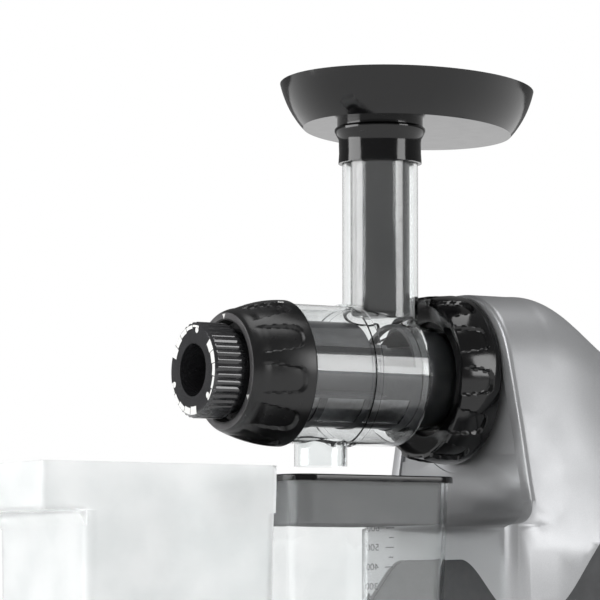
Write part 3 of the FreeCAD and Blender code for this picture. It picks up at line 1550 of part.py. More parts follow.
pieces = {
    "body_shell": make_body_shell,
    "front_panel": make_front_panel,
    "base_tray": make_base,
    "rubber_feet": make_feet,
    "drum_mount": make_drum_mount,
    "shaft_seal": make_shaft_seal,
    "locking_ring": make_locking_ring,
    "drum": make_drum,
    "drum_seal": make_drum_seal,
    "juicing_screen": make_screen,
    "screen_mesh": make_screen_mesh,
    "auger": make_auger,
    "drive_shaft": make_drive_shaft,
    "output_gear": make_output_gear,
    "intermediate_gear": make_inter_gear,
    "intermediate_pinion": make_inter_pinion,
    "intermediate_axle": make_inter_axle,
    "motor_pinion": make_motor_pinion,
    "gearbox_case": make_gearbox_case,
    "gearbox_cover": make_gearbox_cover,
    "shaft_bushes": make_bushes,
    "gearbox_screws": make_case_screws,
    "motor_stator": make_stator,
    "motor_windings": make_windings,
    "motor_front_bracket": make_front_bracket,
    "motor_rear_bracket": make_rear_bracket,
    "motor_bearings": make_bearings,
    "motor_bolts": make_motor_bolts,
    "motor_rotor": make_rotor_core,
    "motor_shaft": make_motor_shaft,
    "cooling_fan": make_fan,
    "motor_cradle": make_cradle,
    "cradle_screws": make_cradle_screws,
    "switch_housing": make_switch_housing,
    "rocker_button": make_rocker,
    "cord_inlet": make_cord_inlet,
    "circuit_board": make_circuit_board,
    "run_capacitor": make_capacitor,
    "end_cap": make_end_cap,
    "cap_bezel": make_cap_bezel,
    "cap_seal": make_cap_seal,
    "pressure_nozzle": make_nozzle,
    "dial": make_dial,
    "dial_face": make_dial_face,
    "hopper_tray": make_tray,
    "plunger_rod": make_plunger,
    "plunger_handle": make_plunger_cap,
    "juice_cup": make_cup,
    "strainer_lid": make_lid,
    "strainer_mesh": make_lid_mesh,
    "pulp_bin": make_bin,
}


def main():
    os.makedirs("parts", exist_ok=True)
    for name, make in pieces.items():
        shape = make()
        shape.exportStep("parts/" + name + ".step")
        box = shape.BoundBox
        print(name, len(shape.Solids), "solids", round(shape.Volume / 1000, 2), "cm3",
              [round(v, 1) for v in (box.XMin, box.XMax, box.YMin, box.YMax, box.ZMin, box.ZMax)],
              "valid" if shape.isValid() else "not valid")


main()
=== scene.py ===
import json
import math

import bpy
from mathutils import Matrix, Vector


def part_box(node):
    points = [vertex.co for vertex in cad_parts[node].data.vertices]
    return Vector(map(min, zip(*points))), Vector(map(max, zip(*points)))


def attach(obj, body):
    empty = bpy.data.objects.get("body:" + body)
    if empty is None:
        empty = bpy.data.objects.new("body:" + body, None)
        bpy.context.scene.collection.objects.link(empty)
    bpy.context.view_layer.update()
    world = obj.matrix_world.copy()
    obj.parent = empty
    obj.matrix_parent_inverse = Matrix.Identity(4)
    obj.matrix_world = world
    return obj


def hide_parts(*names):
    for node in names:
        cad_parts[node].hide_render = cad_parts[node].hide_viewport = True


bl_info = {
    "name": "Cold press juicer",
    "version": (1, 0, 0),
    "blender": (4, 5, 0),
    "location": "3D View > Sidebar > Juicer",
    "description": "Dresses the juicer's frame with modelled pieces, finishes and a plain studio",
    "category": "Object",
}

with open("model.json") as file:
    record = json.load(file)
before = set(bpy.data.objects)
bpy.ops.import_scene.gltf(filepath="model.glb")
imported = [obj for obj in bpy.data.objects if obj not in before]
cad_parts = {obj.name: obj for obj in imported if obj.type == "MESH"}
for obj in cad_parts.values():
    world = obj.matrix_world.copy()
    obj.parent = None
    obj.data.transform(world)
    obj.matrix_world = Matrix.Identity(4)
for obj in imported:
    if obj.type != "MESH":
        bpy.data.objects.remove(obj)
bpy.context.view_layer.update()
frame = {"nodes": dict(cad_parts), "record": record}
MM = 0.001
# Bends under this angle are shaded smooth on copies of the frame's nodes.
GENTLE_BEND_DEG = 30
# Thickness of a printed mark on the dial, and how far it starts in front of the face.
PRINT_T = 0.06 * MM
PRINT_LIFT = 0.05 * MM


def linear(hex_colour):
    """An sRGB hex colour as linear red, green and blue."""
    channels = [int(hex_colour[i:i + 2], 16) / 255 for i in (1, 3, 5)]
    return tuple(c / 12.92 if c <= 0.04045 else ((c + 0.055) / 1.055) ** 2.4 for c in channels)


def middle(node):
    """The middle of a frame node's box."""
    low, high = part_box(node)
    return (low + high) / 2


AXIS = Vector((0.0, 0.0, middle("locking_ring").z))


class JuicerSizes(bpy.types.PropertyGroup):
    """Sizes and counts that a user may change."""
    dial_ribs: bpy.props.IntProperty(
        name="Dial ribs", description="Grip ribs round the pressure dial", default=38, min=12, max=60)
    rib_height: bpy.props.FloatProperty(
        name="Rib height", description="How far a dial rib stands out", default=0.9 * MM, unit="LENGTH")
    ring_pockets: bpy.props.IntProperty(
        name="Ring pockets", description="Grip pockets round the locking ring", default=12, min=6, max=16)
    ring_pocket_depth: bpy.props.FloatProperty(
        name="Ring pocket depth", description="Depth of a grip pocket", default=2.1 * MM, unit="LENGTH")
    cap_recesses: bpy.props.IntProperty(
        name="Cap recesses", description="Finger recesses round the end cap", default=10, min=6, max=14)
    cap_recess_depth: bpy.props.FloatProperty(
        name="Cap recess depth", description="Depth at a recess's rear end", default=2.3 * MM, unit="LENGTH")
    edge_round: bpy.props.FloatProperty(
        name="Edge rounding", description="Rounding of moulded edges", default=0.5 * MM, unit="LENGTH")


class JuicerColours(bpy.types.PropertyGroup):
    """Colours that a user may change."""
    silver: bpy.props.FloatVectorProperty(
        name="Housing", description="Satin silver paint", subtype="COLOR", default=linear("#B4B5B7"))
    black: bpy.props.FloatVectorProperty(
        name="Gloss black", description="Tray, ring, lid and plunger", subtype="COLOR",
        default=linear("#0B0B0C"))
    satin_black: bpy.props.FloatVectorProperty(
        name="Satin black", description="End cap and switch", subtype="COLOR", default=linear("#151516"))
    base: bpy.props.FloatVectorProperty(
        name="Base", description="Dark lower body", subtype="COLOR", default=linear("#3D3E40"))
    smoke: bpy.props.FloatVectorProperty(
        name="Smoke", description="Pressure dial", subtype="COLOR", default=linear("#2A2A2C"))
    print_white: bpy.props.FloatVectorProperty(
        name="White print", description="Marks on the dial and cap", subtype="COLOR",
        default=linear("#E6E6E4"))


def sizes():
    """The sizes that the sidebar shows."""
    return bpy.context.scene.juicer_sizes


def colours():
    """The colours that the sidebar shows."""
    return bpy.context.scene.juicer_colours


# Nodes and materials

def add_node(tree, kind, inputs=None, **settings):
    """Adds a node with its settings, values and links."""
    node = tree.nodes.new(kind)
    for key, value in settings.items():
        setattr(node, key, value)
    for key, value in (inputs or {}).items():
        socket = node.inputs[key]
        if isinstance(value, bpy.types.NodeSocket):
            tree.links.new(value, socket)
        else:
            socket.default_value = value
    return node


def material(name, build):
    """The material of that name, built once."""
    found = bpy.data.materials.get(name)
    if found:
        return found
    made = bpy.data.materials.new(name)
    made.use_nodes = True
    tree = made.node_tree
    tree.nodes.clear()
    shader = build(tree)
    add_node(tree, "ShaderNodeOutputMaterial", {"Surface": shader.outputs[0]})
    return made


def rgba(colour):
    """A colour with full opacity."""
    return (*colour[:3], 1.0)


def moulded_relief(tree, grain_mm, height_mm, strength):
    """A bump of moulded grain. grain_mm is the spacing of the mould's texture."""
    place = add_node(tree, "ShaderNodeTexCoord")
    grain = add_node(tree, "ShaderNodeTexNoise", {
        "Vector": place.outputs["Object"], "Scale": 1 / (grain_mm * MM), "Detail": 3.0, "Roughness": 0.6})
    return add_node(tree, "ShaderNodeBump", {
        "Height": grain.outputs[0], "Strength": strength, "Distance": height_mm * MM})


def varied(tree, patch_mm, low, high):
    """A roughness that wanders between two values over patches of a real size."""
    noise_low, noise_high = 0.3, 0.7
    place = add_node(tree, "ShaderNodeTexCoord")
    patches = add_node(tree, "ShaderNodeTexNoise", {
        "Vector": place.outputs["Object"], "Scale": 1 / (patch_mm * MM), "Detail": 4.0, "Roughness": 0.55})
    return add_node(tree, "ShaderNodeMapRange", {
        "Value": patches.outputs[0], "From Min": noise_low, "From Max": noise_high,
        "To Min": low, "To Max": high})


def mottled(tree, patch_mm, dark, light):
    """A colour that wanders between two close shades."""
    dark_until, light_from = 0.35, 0.65
    place = add_node(tree, "ShaderNodeTexCoord")
    patches = add_node(tree, "ShaderNodeTexNoise", {
        "Vector": place.outputs["Object"], "Scale": 1 / (patch_mm * MM), "Detail": 3.0})
    ramp = add_node(tree, "ShaderNodeValToRGB", {"Fac": patches.outputs[0]})
    ramp.color_ramp.elements[0].position = dark_until
    ramp.color_ramp.elements[0].color = rgba(dark)
    ramp.color_ramp.elements[1].position = light_from
    ramp.color_ramp.elements[1].color = rgba(light)
    return ramp


def shade(colour, factor):
    """A darker or lighter shade of a colour."""
    return tuple(min(1.0, c * factor) for c in colour[:3])


def silver_painted_abs():
    # Sprayed silver on ABS: fine metal flake under a satin lacquer, soft broad highlights.
    def build(tree):
        tone = tuple(colours().silver)
        flake = mottled(tree, 0.4, shade(tone, 0.94), shade(tone, 1.05))
        rough = varied(tree, patch_mm=18.0, low=0.34, high=0.40)
        relief = moulded_relief(tree, grain_mm=0.6, height_mm=0.02, strength=0.12)
        return add_node(tree, "ShaderNodeBsdfPrincipled", {
            "Base Color": flake.outputs[0], "Metallic": 0.55, "Roughness": rough.outputs[0],
            "Coat Weight": 0.12, "Coat Roughness": 0.3, "Normal": relief.outputs[0]})
    return material("silver_painted_abs", build)


def gloss_black_abs():
    # Polished black ABS: a deep black with sharp reflections and faint wiping marks.
    def build(tree):
        tone = tuple(colours().black)
        body = mottled(tree, 30.0, shade(tone, 0.85), shade(tone, 1.2))
        rough = varied(tree, patch_mm=9.0, low=0.09, high=0.15)
        return add_node(tree, "ShaderNodeBsdfPrincipled", {
            "Base Color": body.outputs[0], "Roughness": rough.outputs[0], "IOR": 1.53})
    return material("gloss_black_abs", build)


def satin_black_abs():
    # Spark-eroded black ABS: fine grain that spreads the highlight.
    def build(tree):
        tone = tuple(colours().satin_black)
        body = mottled(tree, 12.0, shade(tone, 0.9), shade(tone, 1.15))
        rough = varied(tree, patch_mm=6.0, low=0.27, high=0.34)
        relief = moulded_relief(tree, grain_mm=0.5, height_mm=0.03, strength=0.2)
        return add_node(tree, "ShaderNodeBsdfPrincipled", {
            "Base Color": body.outputs[0], "Roughness": rough.outputs[0], "IOR": 1.53,
            "Normal": relief.outputs[0]})
    return material("satin_black_abs", build)


def dark_grained_abs():
    # Grained dark grey ABS of the lower body and the works' cases.
    def build(tree):
        tone = tuple(colours().base)
        body = mottled(tree, 8.0, shade(tone, 0.9), shade(tone, 1.12))
        rough = varied(tree, patch_mm=5.0, low=0.45, high=0.55)
        relief = moulded_relief(tree, grain_mm=0.8, height_mm=0.06, strength=0.35)
        return add_node(tree, "ShaderNodeBsdfPrincipled", {
            "Base Color": body.outputs[0], "Roughness": rough.outputs[0], "IOR": 1.53,
            "Normal": relief.outputs[0]})
    return material("dark_grained_abs", build)


def smoky_polycarbonate():
    # Smoky tinted polycarbonate, as on the dial: a glassy skin over a dark body.
    def build(tree):
        tone = tuple(colours().smoke)
        body = mottled(tree, 14.0, shade(tone, 0.85), shade(tone, 1.15))
        rough = varied(tree, patch_mm=10.0, low=0.06, high=0.11)
        return add_node(tree, "ShaderNodeBsdfPrincipled", {
            "Base Color": body.outputs[0], "Roughness": rough.outputs[0], "IOR": 1.58,
            "Coat Weight": 0.5, "Coat Roughness": 0.04})
    return material("smoky_polycarbonate", build)


def see_through(tree, shader, share):
    """Lets shadow rays pass, as light does through a clear moulding."""
    path = add_node(tree, "ShaderNodeLightPath")
    clear = add_node(tree, "ShaderNodeBsdfTransparent", {"Color": (share, share, share, 1.0)})
    return add_node(tree, "ShaderNodeMixShader", {
        0: path.outputs["Is Shadow Ray"], 1: shader.outputs[0], 2: clear.outputs[0]})


def clear_copolyester():
    # Clear copolyester of the drum and cup: polished, with bright edges and a faint grey cast.
    def build(tree):
        tint = mottled(tree, 40.0, linear("#F3F5F5"), linear("#FAFBFB"))
        rough = varied(tree, patch_mm=12.0, low=0.012, high=0.03)
        body = add_node(tree, "ShaderNodeBsdfPrincipled", {
            "Base Color": tint.outputs[0], "Roughness": rough.outputs[0], "IOR": 1.52,
            "Transmission Weight": 1.0})
        return see_through(tree, body, 0.93)
    return material("clear_copolyester", build)


def frosted_polypropylene():
    # Frosted polypropylene of the pulp bin: milky, with soft shapes showing through.
    def build(tree):
        tint = mottled(tree, 25.0, linear("#EEF0F0"), linear("#F8F9F9"))
        relief = moulded_relief(tree, grain_mm=0.5, height_mm=0.02, strength=0.2)
        body = add_node(tree, "ShaderNodeBsdfPrincipled", {
            "Base Color": tint.outputs[0], "Roughness": 0.34, "IOR": 1.3, "Transmission Weight": 0.82,
            "Normal": relief.outputs[0]})
        return see_through(tree, body, 0.85)
    return material("frosted_polypropylene", build)


def smoked_sleeve():
    # Smoked moulding inside the neck: dark, satin, a little see-through.
    def build(tree):
        tint = mottled(tree, 12.0, linear("#3F4042"), linear("#4A4B4D"))
        return add_node(tree, "ShaderNodeBsdfPrincipled", {
            "Base Color": tint.outputs[0], "Roughness": 0.3, "IOR": 1.5, "Transmission Weight": 0.15})
    return material("smoked_sleeve", build)


def smoked_strainer():
    # Smoke-tinted skirt of the strainer lid, seen through the cup's clear wall.
    def build(tree):
        tint = mottled(tree, 20.0, linear("#6F7072"), linear("#7C7D7F"))
        body = add_node(tree, "ShaderNodeBsdfPrincipled", {
            "Base Color": tint.outputs[0], "Roughness": 0.2, "IOR": 1.5, "Transmission Weight": 0.6})
        return see_through(tree, body, 0.5)
    return material("smoked_strainer", build)


def printed_white():
    # Pad-printed white ink: matt and very slightly uneven.
    def build(tree):
        tone = tuple(colours().print_white)
        ink = mottled(tree, 1.5, shade(tone, 0.93), shade(tone, 1.0))
        return add_node(tree, "ShaderNodeBsdfPrincipled", {"Base Color": ink.outputs[0], "Roughness": 0.45})
    return material("printed_white", build)


def printed_black():
    # Pad-printed black ink of the cup's scale.
    def build(tree):
        ink = mottled(tree, 1.5, linear("#1A1A1B"), linear("#242425"))
        return add_node(tree, "ShaderNodeBsdfPrincipled", {"Base Color": ink.outputs[0], "Roughness": 0.5})
    return material("printed_black", build)


def grey_bezel_abs():
    # Satin grey ABS ring round the dial.
    def build(tree):
        body = mottled(tree, 6.0, linear("#4A494A"), linear("#545354"))
        relief = moulded_relief(tree, grain_mm=0.5, height_mm=0.03, strength=0.2)
        return add_node(tree, "ShaderNodeBsdfPrincipled", {
            "Base Color": body.outputs[0], "Roughness": 0.33, "Normal": relief.outputs[0]})
    return material("grey_bezel_abs", build)


def auger_resin():
    # Dense dark auger resin, satin, with a faint flow pattern.
    def build(tree):
        body = mottled(tree, 10.0, linear("#3A3B3D"), linear("#464749"))
        relief = moulded_relief(tree, grain_mm=1.2, height_mm=0.05, strength=0.2)
        return add_node(tree, "ShaderNodeBsdfPrincipled", {
            "Base Color": body.outputs[0], "Roughness": 0.32, "Normal": relief.outputs[0]})
    return material("auger_resin", build)


def metal(name, dark, light, rough_low, rough_high, patch_mm):
    """A plain metal with slight changes of tone."""
    def build(tree):
        body = mottled(tree, patch_mm, linear(dark), linear(light))
        rough = varied(tree, patch_mm, rough_low, rough_high)
        return add_node(tree, "ShaderNodeBsdfPrincipled", {
            "Base Color": body.outputs[0], "Metallic": 1.0, "Roughness": rough.outputs[0]})
    return material(name, build)


def plain_solid(name, dark, light, rough):
    """A moulded or cast solid with a fine grain."""
    patch_mm = 3.0
    def build(tree):
        body = mottled(tree, patch_mm, linear(dark), linear(light))
        relief = moulded_relief(tree, grain_mm=0.6, height_mm=0.04, strength=0.25)
        return add_node(tree, "ShaderNodeBsdfPrincipled", {
            "Base Color": body.outputs[0], "Roughness": rough, "Normal": relief.outputs[0]})
    return material(name, build)


SLOT_FINISH = {
    "silver_paint": silver_painted_abs,
    "dark_plastic": dark_grained_abs,
    "black_gloss": gloss_black_abs,
    "black_satin": satin_black_abs,
    "clear_plastic": clear_copolyester,
    "smoke_plastic": smoky_polycarbonate,
    "frosted_plastic": frosted_polypropylene,
    "grey_plastic": grey_bezel_abs,
    "auger_plastic": auger_resin,
    # Punched stainless sheet.
    "steel_mesh": lambda: metal("punched_stainless", "#9A9B9D", "#B4B5B7", 0.28, 0.4, 4.0),
    # Soft black nitrile.
    "rubber": lambda: plain_solid("nitrile_rubber", "#161616", "#1F1F1F", 0.7),
    # Ground steel of shafts and pinions.
    "shaft_steel": lambda: metal("ground_steel", "#8F9092", "#A6A7A9", 0.2, 0.32, 2.0),
    # Natural nylon gears, slightly waxy.
    "gear_nylon": lambda: plain_solid("natural_nylon", "#CFCBBD", "#DAD6C9", 0.42),
    # Sintered bronze bushes.
    "bush_bronze": lambda: metal("sintered_bronze", "#7C5B35", "#8F6C42", 0.4, 0.55, 1.0),
    # Laminated motor iron.
    "motor_iron": lambda: metal("laminated_iron", "#4D4E50", "#5F6062", 0.4, 0.6, 1.0),
    # Enamelled copper windings.
    "copper_wire": lambda: metal("enamelled_copper", "#8A4524", "#A3562F", 0.3, 0.45, 0.8),
    # Die-cast aluminium brackets.
    "bracket_metal": lambda: metal("die_cast_aluminium", "#9C9DA0", "#B0B1B4", 0.38, 0.5, 3.0),
    # Zinc-plated screws.
    "screw_steel": lambda: metal("zinc_plate", "#A2A4A8", "#B8BABE", 0.22, 0.34, 1.5),
    # Green circuit board.
    "board_green": lambda: plain_solid("circuit_laminate", "#1E4B2C", "#275A36", 0.45),
    # White capacitor can.
    "capacitor_white": lambda: plain_solid("capacitor_can", "#C9C9C4", "#D6D6D1", 0.4),
}


# Modelling helpers

def deselect_all():
    if bpy.context.object and bpy.context.object.mode != "OBJECT":
        bpy.ops.object.mode_set(mode="OBJECT")
    bpy.ops.object.select_all(action="DESELECT")


def make_active(piece):
    deselect_all()
    piece.select_set(True)
    bpy.context.view_layer.objects.active = piece


def rounded(corners, step_deg=22.5):
    """A profile's points. A corner is (across, along) or (across, along, radius)."""
    points = []
    for i, corner in enumerate(corners):
        here = Vector(corner[:2])
        radius = corner[2] if len(corner) > 2 else 0.0
        if radius == 0 or i in (0, len(corners) - 1):
            points.append(here)
            continue
        before = (Vector(corners[i - 1][:2]) - here).normalized()
        after = (Vector(corners[i + 1][:2]) - here).normalized()
        half = before.angle(after) / 2
        reach = radius / math.tan(half)
        centre = here + (before + after).normalized() * (radius / math.sin(half))
        start = here + before * reach - centre
        end = here + after * reach - centre
        sweep = math.pi - 2 * half
        turn = 1 if start.x * end.y > start.y * end.x else -1
        count = max(2, round(math.degrees(sweep) / step_deg))
        for k in range(count + 1):
            points.append(centre + Matrix.Rotation(turn * sweep * k / count, 2) @ start)
    return points


def start_chain(name, points):
    """A chain of vertices through the points, left open in edit mode."""
    deselect_all()
    bpy.ops.mesh.primitive_plane_add(size=MM, location=(0, 0, 0))
    piece = bpy.context.object
    piece.name = name
    piece.data.name = name
    bpy.ops.object.mode_set(mode="EDIT")
    bpy.ops.mesh.select_all(action="SELECT")
    bpy.ops.mesh.merge(type="CENTER")
    bpy.ops.transform.translate(value=points[0])
    for here, there in zip(points, points[1:]):
        bpy.ops.mesh.extrude_vertices_move(TRANSFORM_OT_translate={"value": there - here})
    return piece


def turn_profile(name, corners, centre, along="Y", steps=128, smooth_deg=32.0, closed=True):
    """A turned piece: the profile (radius, along) in metres is spun round an axis through centre."""
    flat = rounded(corners)
    if closed:
        flat.append(flat[0])
    if along == "Y":
        points = [Vector((centre[0] + p.x, p.y, centre[2])) for p in flat]
        axis = (0, 1, 0)
    else:
        points = [Vector((centre[0] + p.x, centre[1], p.y)) for p in flat]
        axis = (0, 0, 1)
    piece = start_chain(name, points)
    bpy.ops.mesh.select_all(action="SELECT")
    bpy.ops.mesh.spin(steps=steps, angle=2 * math.pi, center=centre, axis=axis)
    close_up(piece, smooth_deg)
    return piece


def close_up(piece, smooth_deg=32.0):
    """Merges doubles, points faces outwards and shades by angle."""
    if bpy.context.object.mode != "EDIT":
        make_active(piece)
        bpy.ops.object.mode_set(mode="EDIT")
    bpy.ops.mesh.select_all(action="SELECT")
    bpy.ops.mesh.remove_doubles(threshold=0.01 * MM)
    bpy.ops.mesh.normals_make_consistent(inside=False)
    bpy.ops.object.mode_set(mode="OBJECT")
    bpy.ops.object.shade_smooth_by_angle(angle=math.radians(smooth_deg))


def copy_node(node, name):
    """A copy of a frame node's mesh with its loose triangles joined."""
    deselect_all()
    source = frame["nodes"][node]
    piece = bpy.data.objects.new(name, source.data.copy())
    piece.data.name = name
    piece.data.materials.clear()
    bpy.context.scene.collection.objects.link(piece)
    make_active(piece)
    bpy.ops.mesh.customdata_custom_splitnormals_clear()
    bpy.ops.object.mode_set(mode="EDIT")
    bpy.ops.mesh.select_all(action="SELECT")
    bpy.ops.mesh.remove_doubles(threshold=0.004 * MM)
    bpy.ops.object.mode_set(mode="OBJECT")
    return piece


def smooth_copy(node, name):
    """A joined copy of a frame node whose gentle bends are shaded smooth."""
    piece = copy_node(node, name)
    bpy.ops.object.shade_smooth_by_angle(angle=math.radians(GENTLE_BEND_DEG))
    return piece


def apply_modifier(piece, kind, **settings):
    make_active(piece)
    added = piece.modifiers.new(kind.title(), kind)
    for key, value in settings.items():
        setattr(added, key, value)
    bpy.ops.object.modifier_apply(modifier=added.name)


def ease_edges(piece, width, segments=3, angle_deg=35.0):
    """Rounds the piece's sharp edges."""
    apply_modifier(piece, "BEVEL", width=width, segments=segments, limit_method="ANGLE",
                   angle_limit=math.radians(angle_deg), use_clamp_overlap=True, harden_normals=False)
    make_active(piece)
    bpy.ops.object.shade_smooth_by_angle(angle=math.radians(angle_deg))


def place(piece, body, finish, slot, *nodes):
    """Gives a finished piece its material and body, and hides the nodes that it stands for. The slot is not
    used.
    """
    make_active(piece)
    bpy.ops.object.transform_apply(location=True, rotation=True, scale=True)
    piece.data.materials.clear()
    piece.data.materials.append(finish)
    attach(piece, body)
    if nodes:
        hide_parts(*nodes)
    return piece


def smoothstep(low, high, value):
    """0 below low, 1 above high and an even curve between them."""
    t = min(1.0, max(0.0, (value - low) / (high - low)))
    return t * t * (3 - 2 * t)


def press_in(piece, depth_at, smooth_deg):
    """Moves each vertex towards the drum's axis by depth_at(angle, y, radius), then shades again."""
    for vertex in piece.data.vertices:
        radial = Vector((vertex.co.x - AXIS.x, 0, vertex.co.z - AXIS.z))
        angle = math.atan2(radial.z, radial.x)
        vertex.co -= radial.normalized() * depth_at(angle, vertex.co.y, radial.length)
    make_active(piece)
    bpy.ops.object.shade_smooth_by_angle(angle=math.radians(smooth_deg))


# Pieces

class JUICER_OT_finishes(bpy.types.Operator):
    """Gives every frame node that stays in sight its real finish"""
    bl_idname = "juicer.finishes"
    bl_label = "Finishes"

    def execute(self, context):
        slot_of = {s["node"]: s["material_slot"] for s in frame["record"]["subparts"]}
        for name, node in frame["nodes"].items():
            finish = SLOT_FINISH[slot_of[name]]()
            if not node.material_slots:
                node.data.materials.append(finish)
            for place_slot in node.material_slots:
                place_slot.material = finish
        return {"FINISHED"}


class JUICER_OT_housing(bpy.types.Operator):
    """Adds the silver housing, its recessed front and the dark base"""
    bl_idname = "juicer.housing"
    bl_label = "Housing"

    def execute(self, context):
        for node, name, finish, slot in (
                ("body_shell", "housing_shell", silver_painted_abs(), "silver_paint"),
                ("front_panel", "recessed_front", silver_painted_abs(), "silver_paint"),
                ("base_tray", "dark_base", dark_grained_abs(), "dark_plastic")):
            piece = copy_node(node, name)
            ease_edges(piece, sizes().edge_round, 2, 38.0)
            place(piece, "housing", finish, slot, node)
        return {"FINISHED"}


def pocket_mask(angle, t, count, phase_deg, front_share, rear_share, rear_t, soft_angle):
    """How deep a point lies in one of the pockets round a turned piece, 0 to 1.

    t runs from 0 at the front to 1 at the rear. A share is a pocket's part of the pitch, and the
    pocket ends at rear_t.
    """
    soft_t, end_bend = 0.05, 0.125
    phase = math.radians(phase_deg)
    pitch = 2 * math.pi / count
    local = (angle - phase) / pitch
    local = abs(local - round(local)) * 2
    share = front_share + (rear_share - front_share) * min(1.0, max(0.0, t / rear_t))
    side = smoothstep(0.0, soft_angle, share - local)
    bend = end_bend * (local / share) ** 4
    end = smoothstep(0.0, soft_t, rear_t - bend - t)
    return side * end


class JUICER_OT_locking_ring(bpy.types.Operator):
    """Adds the gloss black locking ring with its grip pockets"""
    bl_idname = "juicer.locking_ring"
    bl_label = "Locking ring"

    def execute(self, context):
        low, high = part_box("locking_ring")
        front, rear = low.y, high.y
        front_r, rear_r = 47.2 * MM, 48.7 * MM
        bore_r, web_r = 43.4 * MM, 33.0 * MM
        web_y, web_t = front + 4.1 * MM, 3.5 * MM
        edge, crown, web_round = 1.2 * MM, 1.1 * MM, 0.8 * MM
        length = rear - front
        rows, smooth_deg = 46, 40.0
        outer = []
        for i in range(rows + 1):
            t = i / rows
            y = front + edge + (length - 2 * edge) * t
            bulge = crown * math.sin(math.pi * t) * (1 - 0.3 * t)
            outer.append((front_r + (rear_r - front_r) * t + bulge, y))
        corners = [(front_r - 4.2 * MM, front), (front_r - 1.4 * MM, front),
                   (front_r - 0.4 * MM, front + 0.35 * MM)]
        corners += outer
        corners += [(rear_r - 0.4 * MM, rear - 0.35 * MM), (rear_r - edge, rear), (bore_r, rear),
                    (bore_r, web_y + web_t), (web_r, web_y + web_t, web_round), (web_r, web_y, web_round),
                    (front_r - 4.6 * MM, web_y, edge)]
        piece = turn_profile("grip_ring", corners, AXIS, "Y", steps=360, smooth_deg=smooth_deg)
        count = sizes().ring_pockets
        deep = sizes().ring_pocket_depth
        outer_skin = front_r - 1.8 * MM

        def depth_at(angle, y, radius):
            if radius < outer_skin:
                return 0.0
            t = (y - front) / length
            mask = pocket_mask(angle, t, count, phase_deg=-4.4, front_share=0.72, rear_share=0.50,
                               rear_t=0.77, soft_angle=0.09)
            return deep * mask * (0.75 + 0.25 * t)

        press_in(piece, depth_at, smooth_deg)
        place(piece, "ring_body", gloss_black_abs(), "black_gloss", "locking_ring")
        return {"FINISHED"}


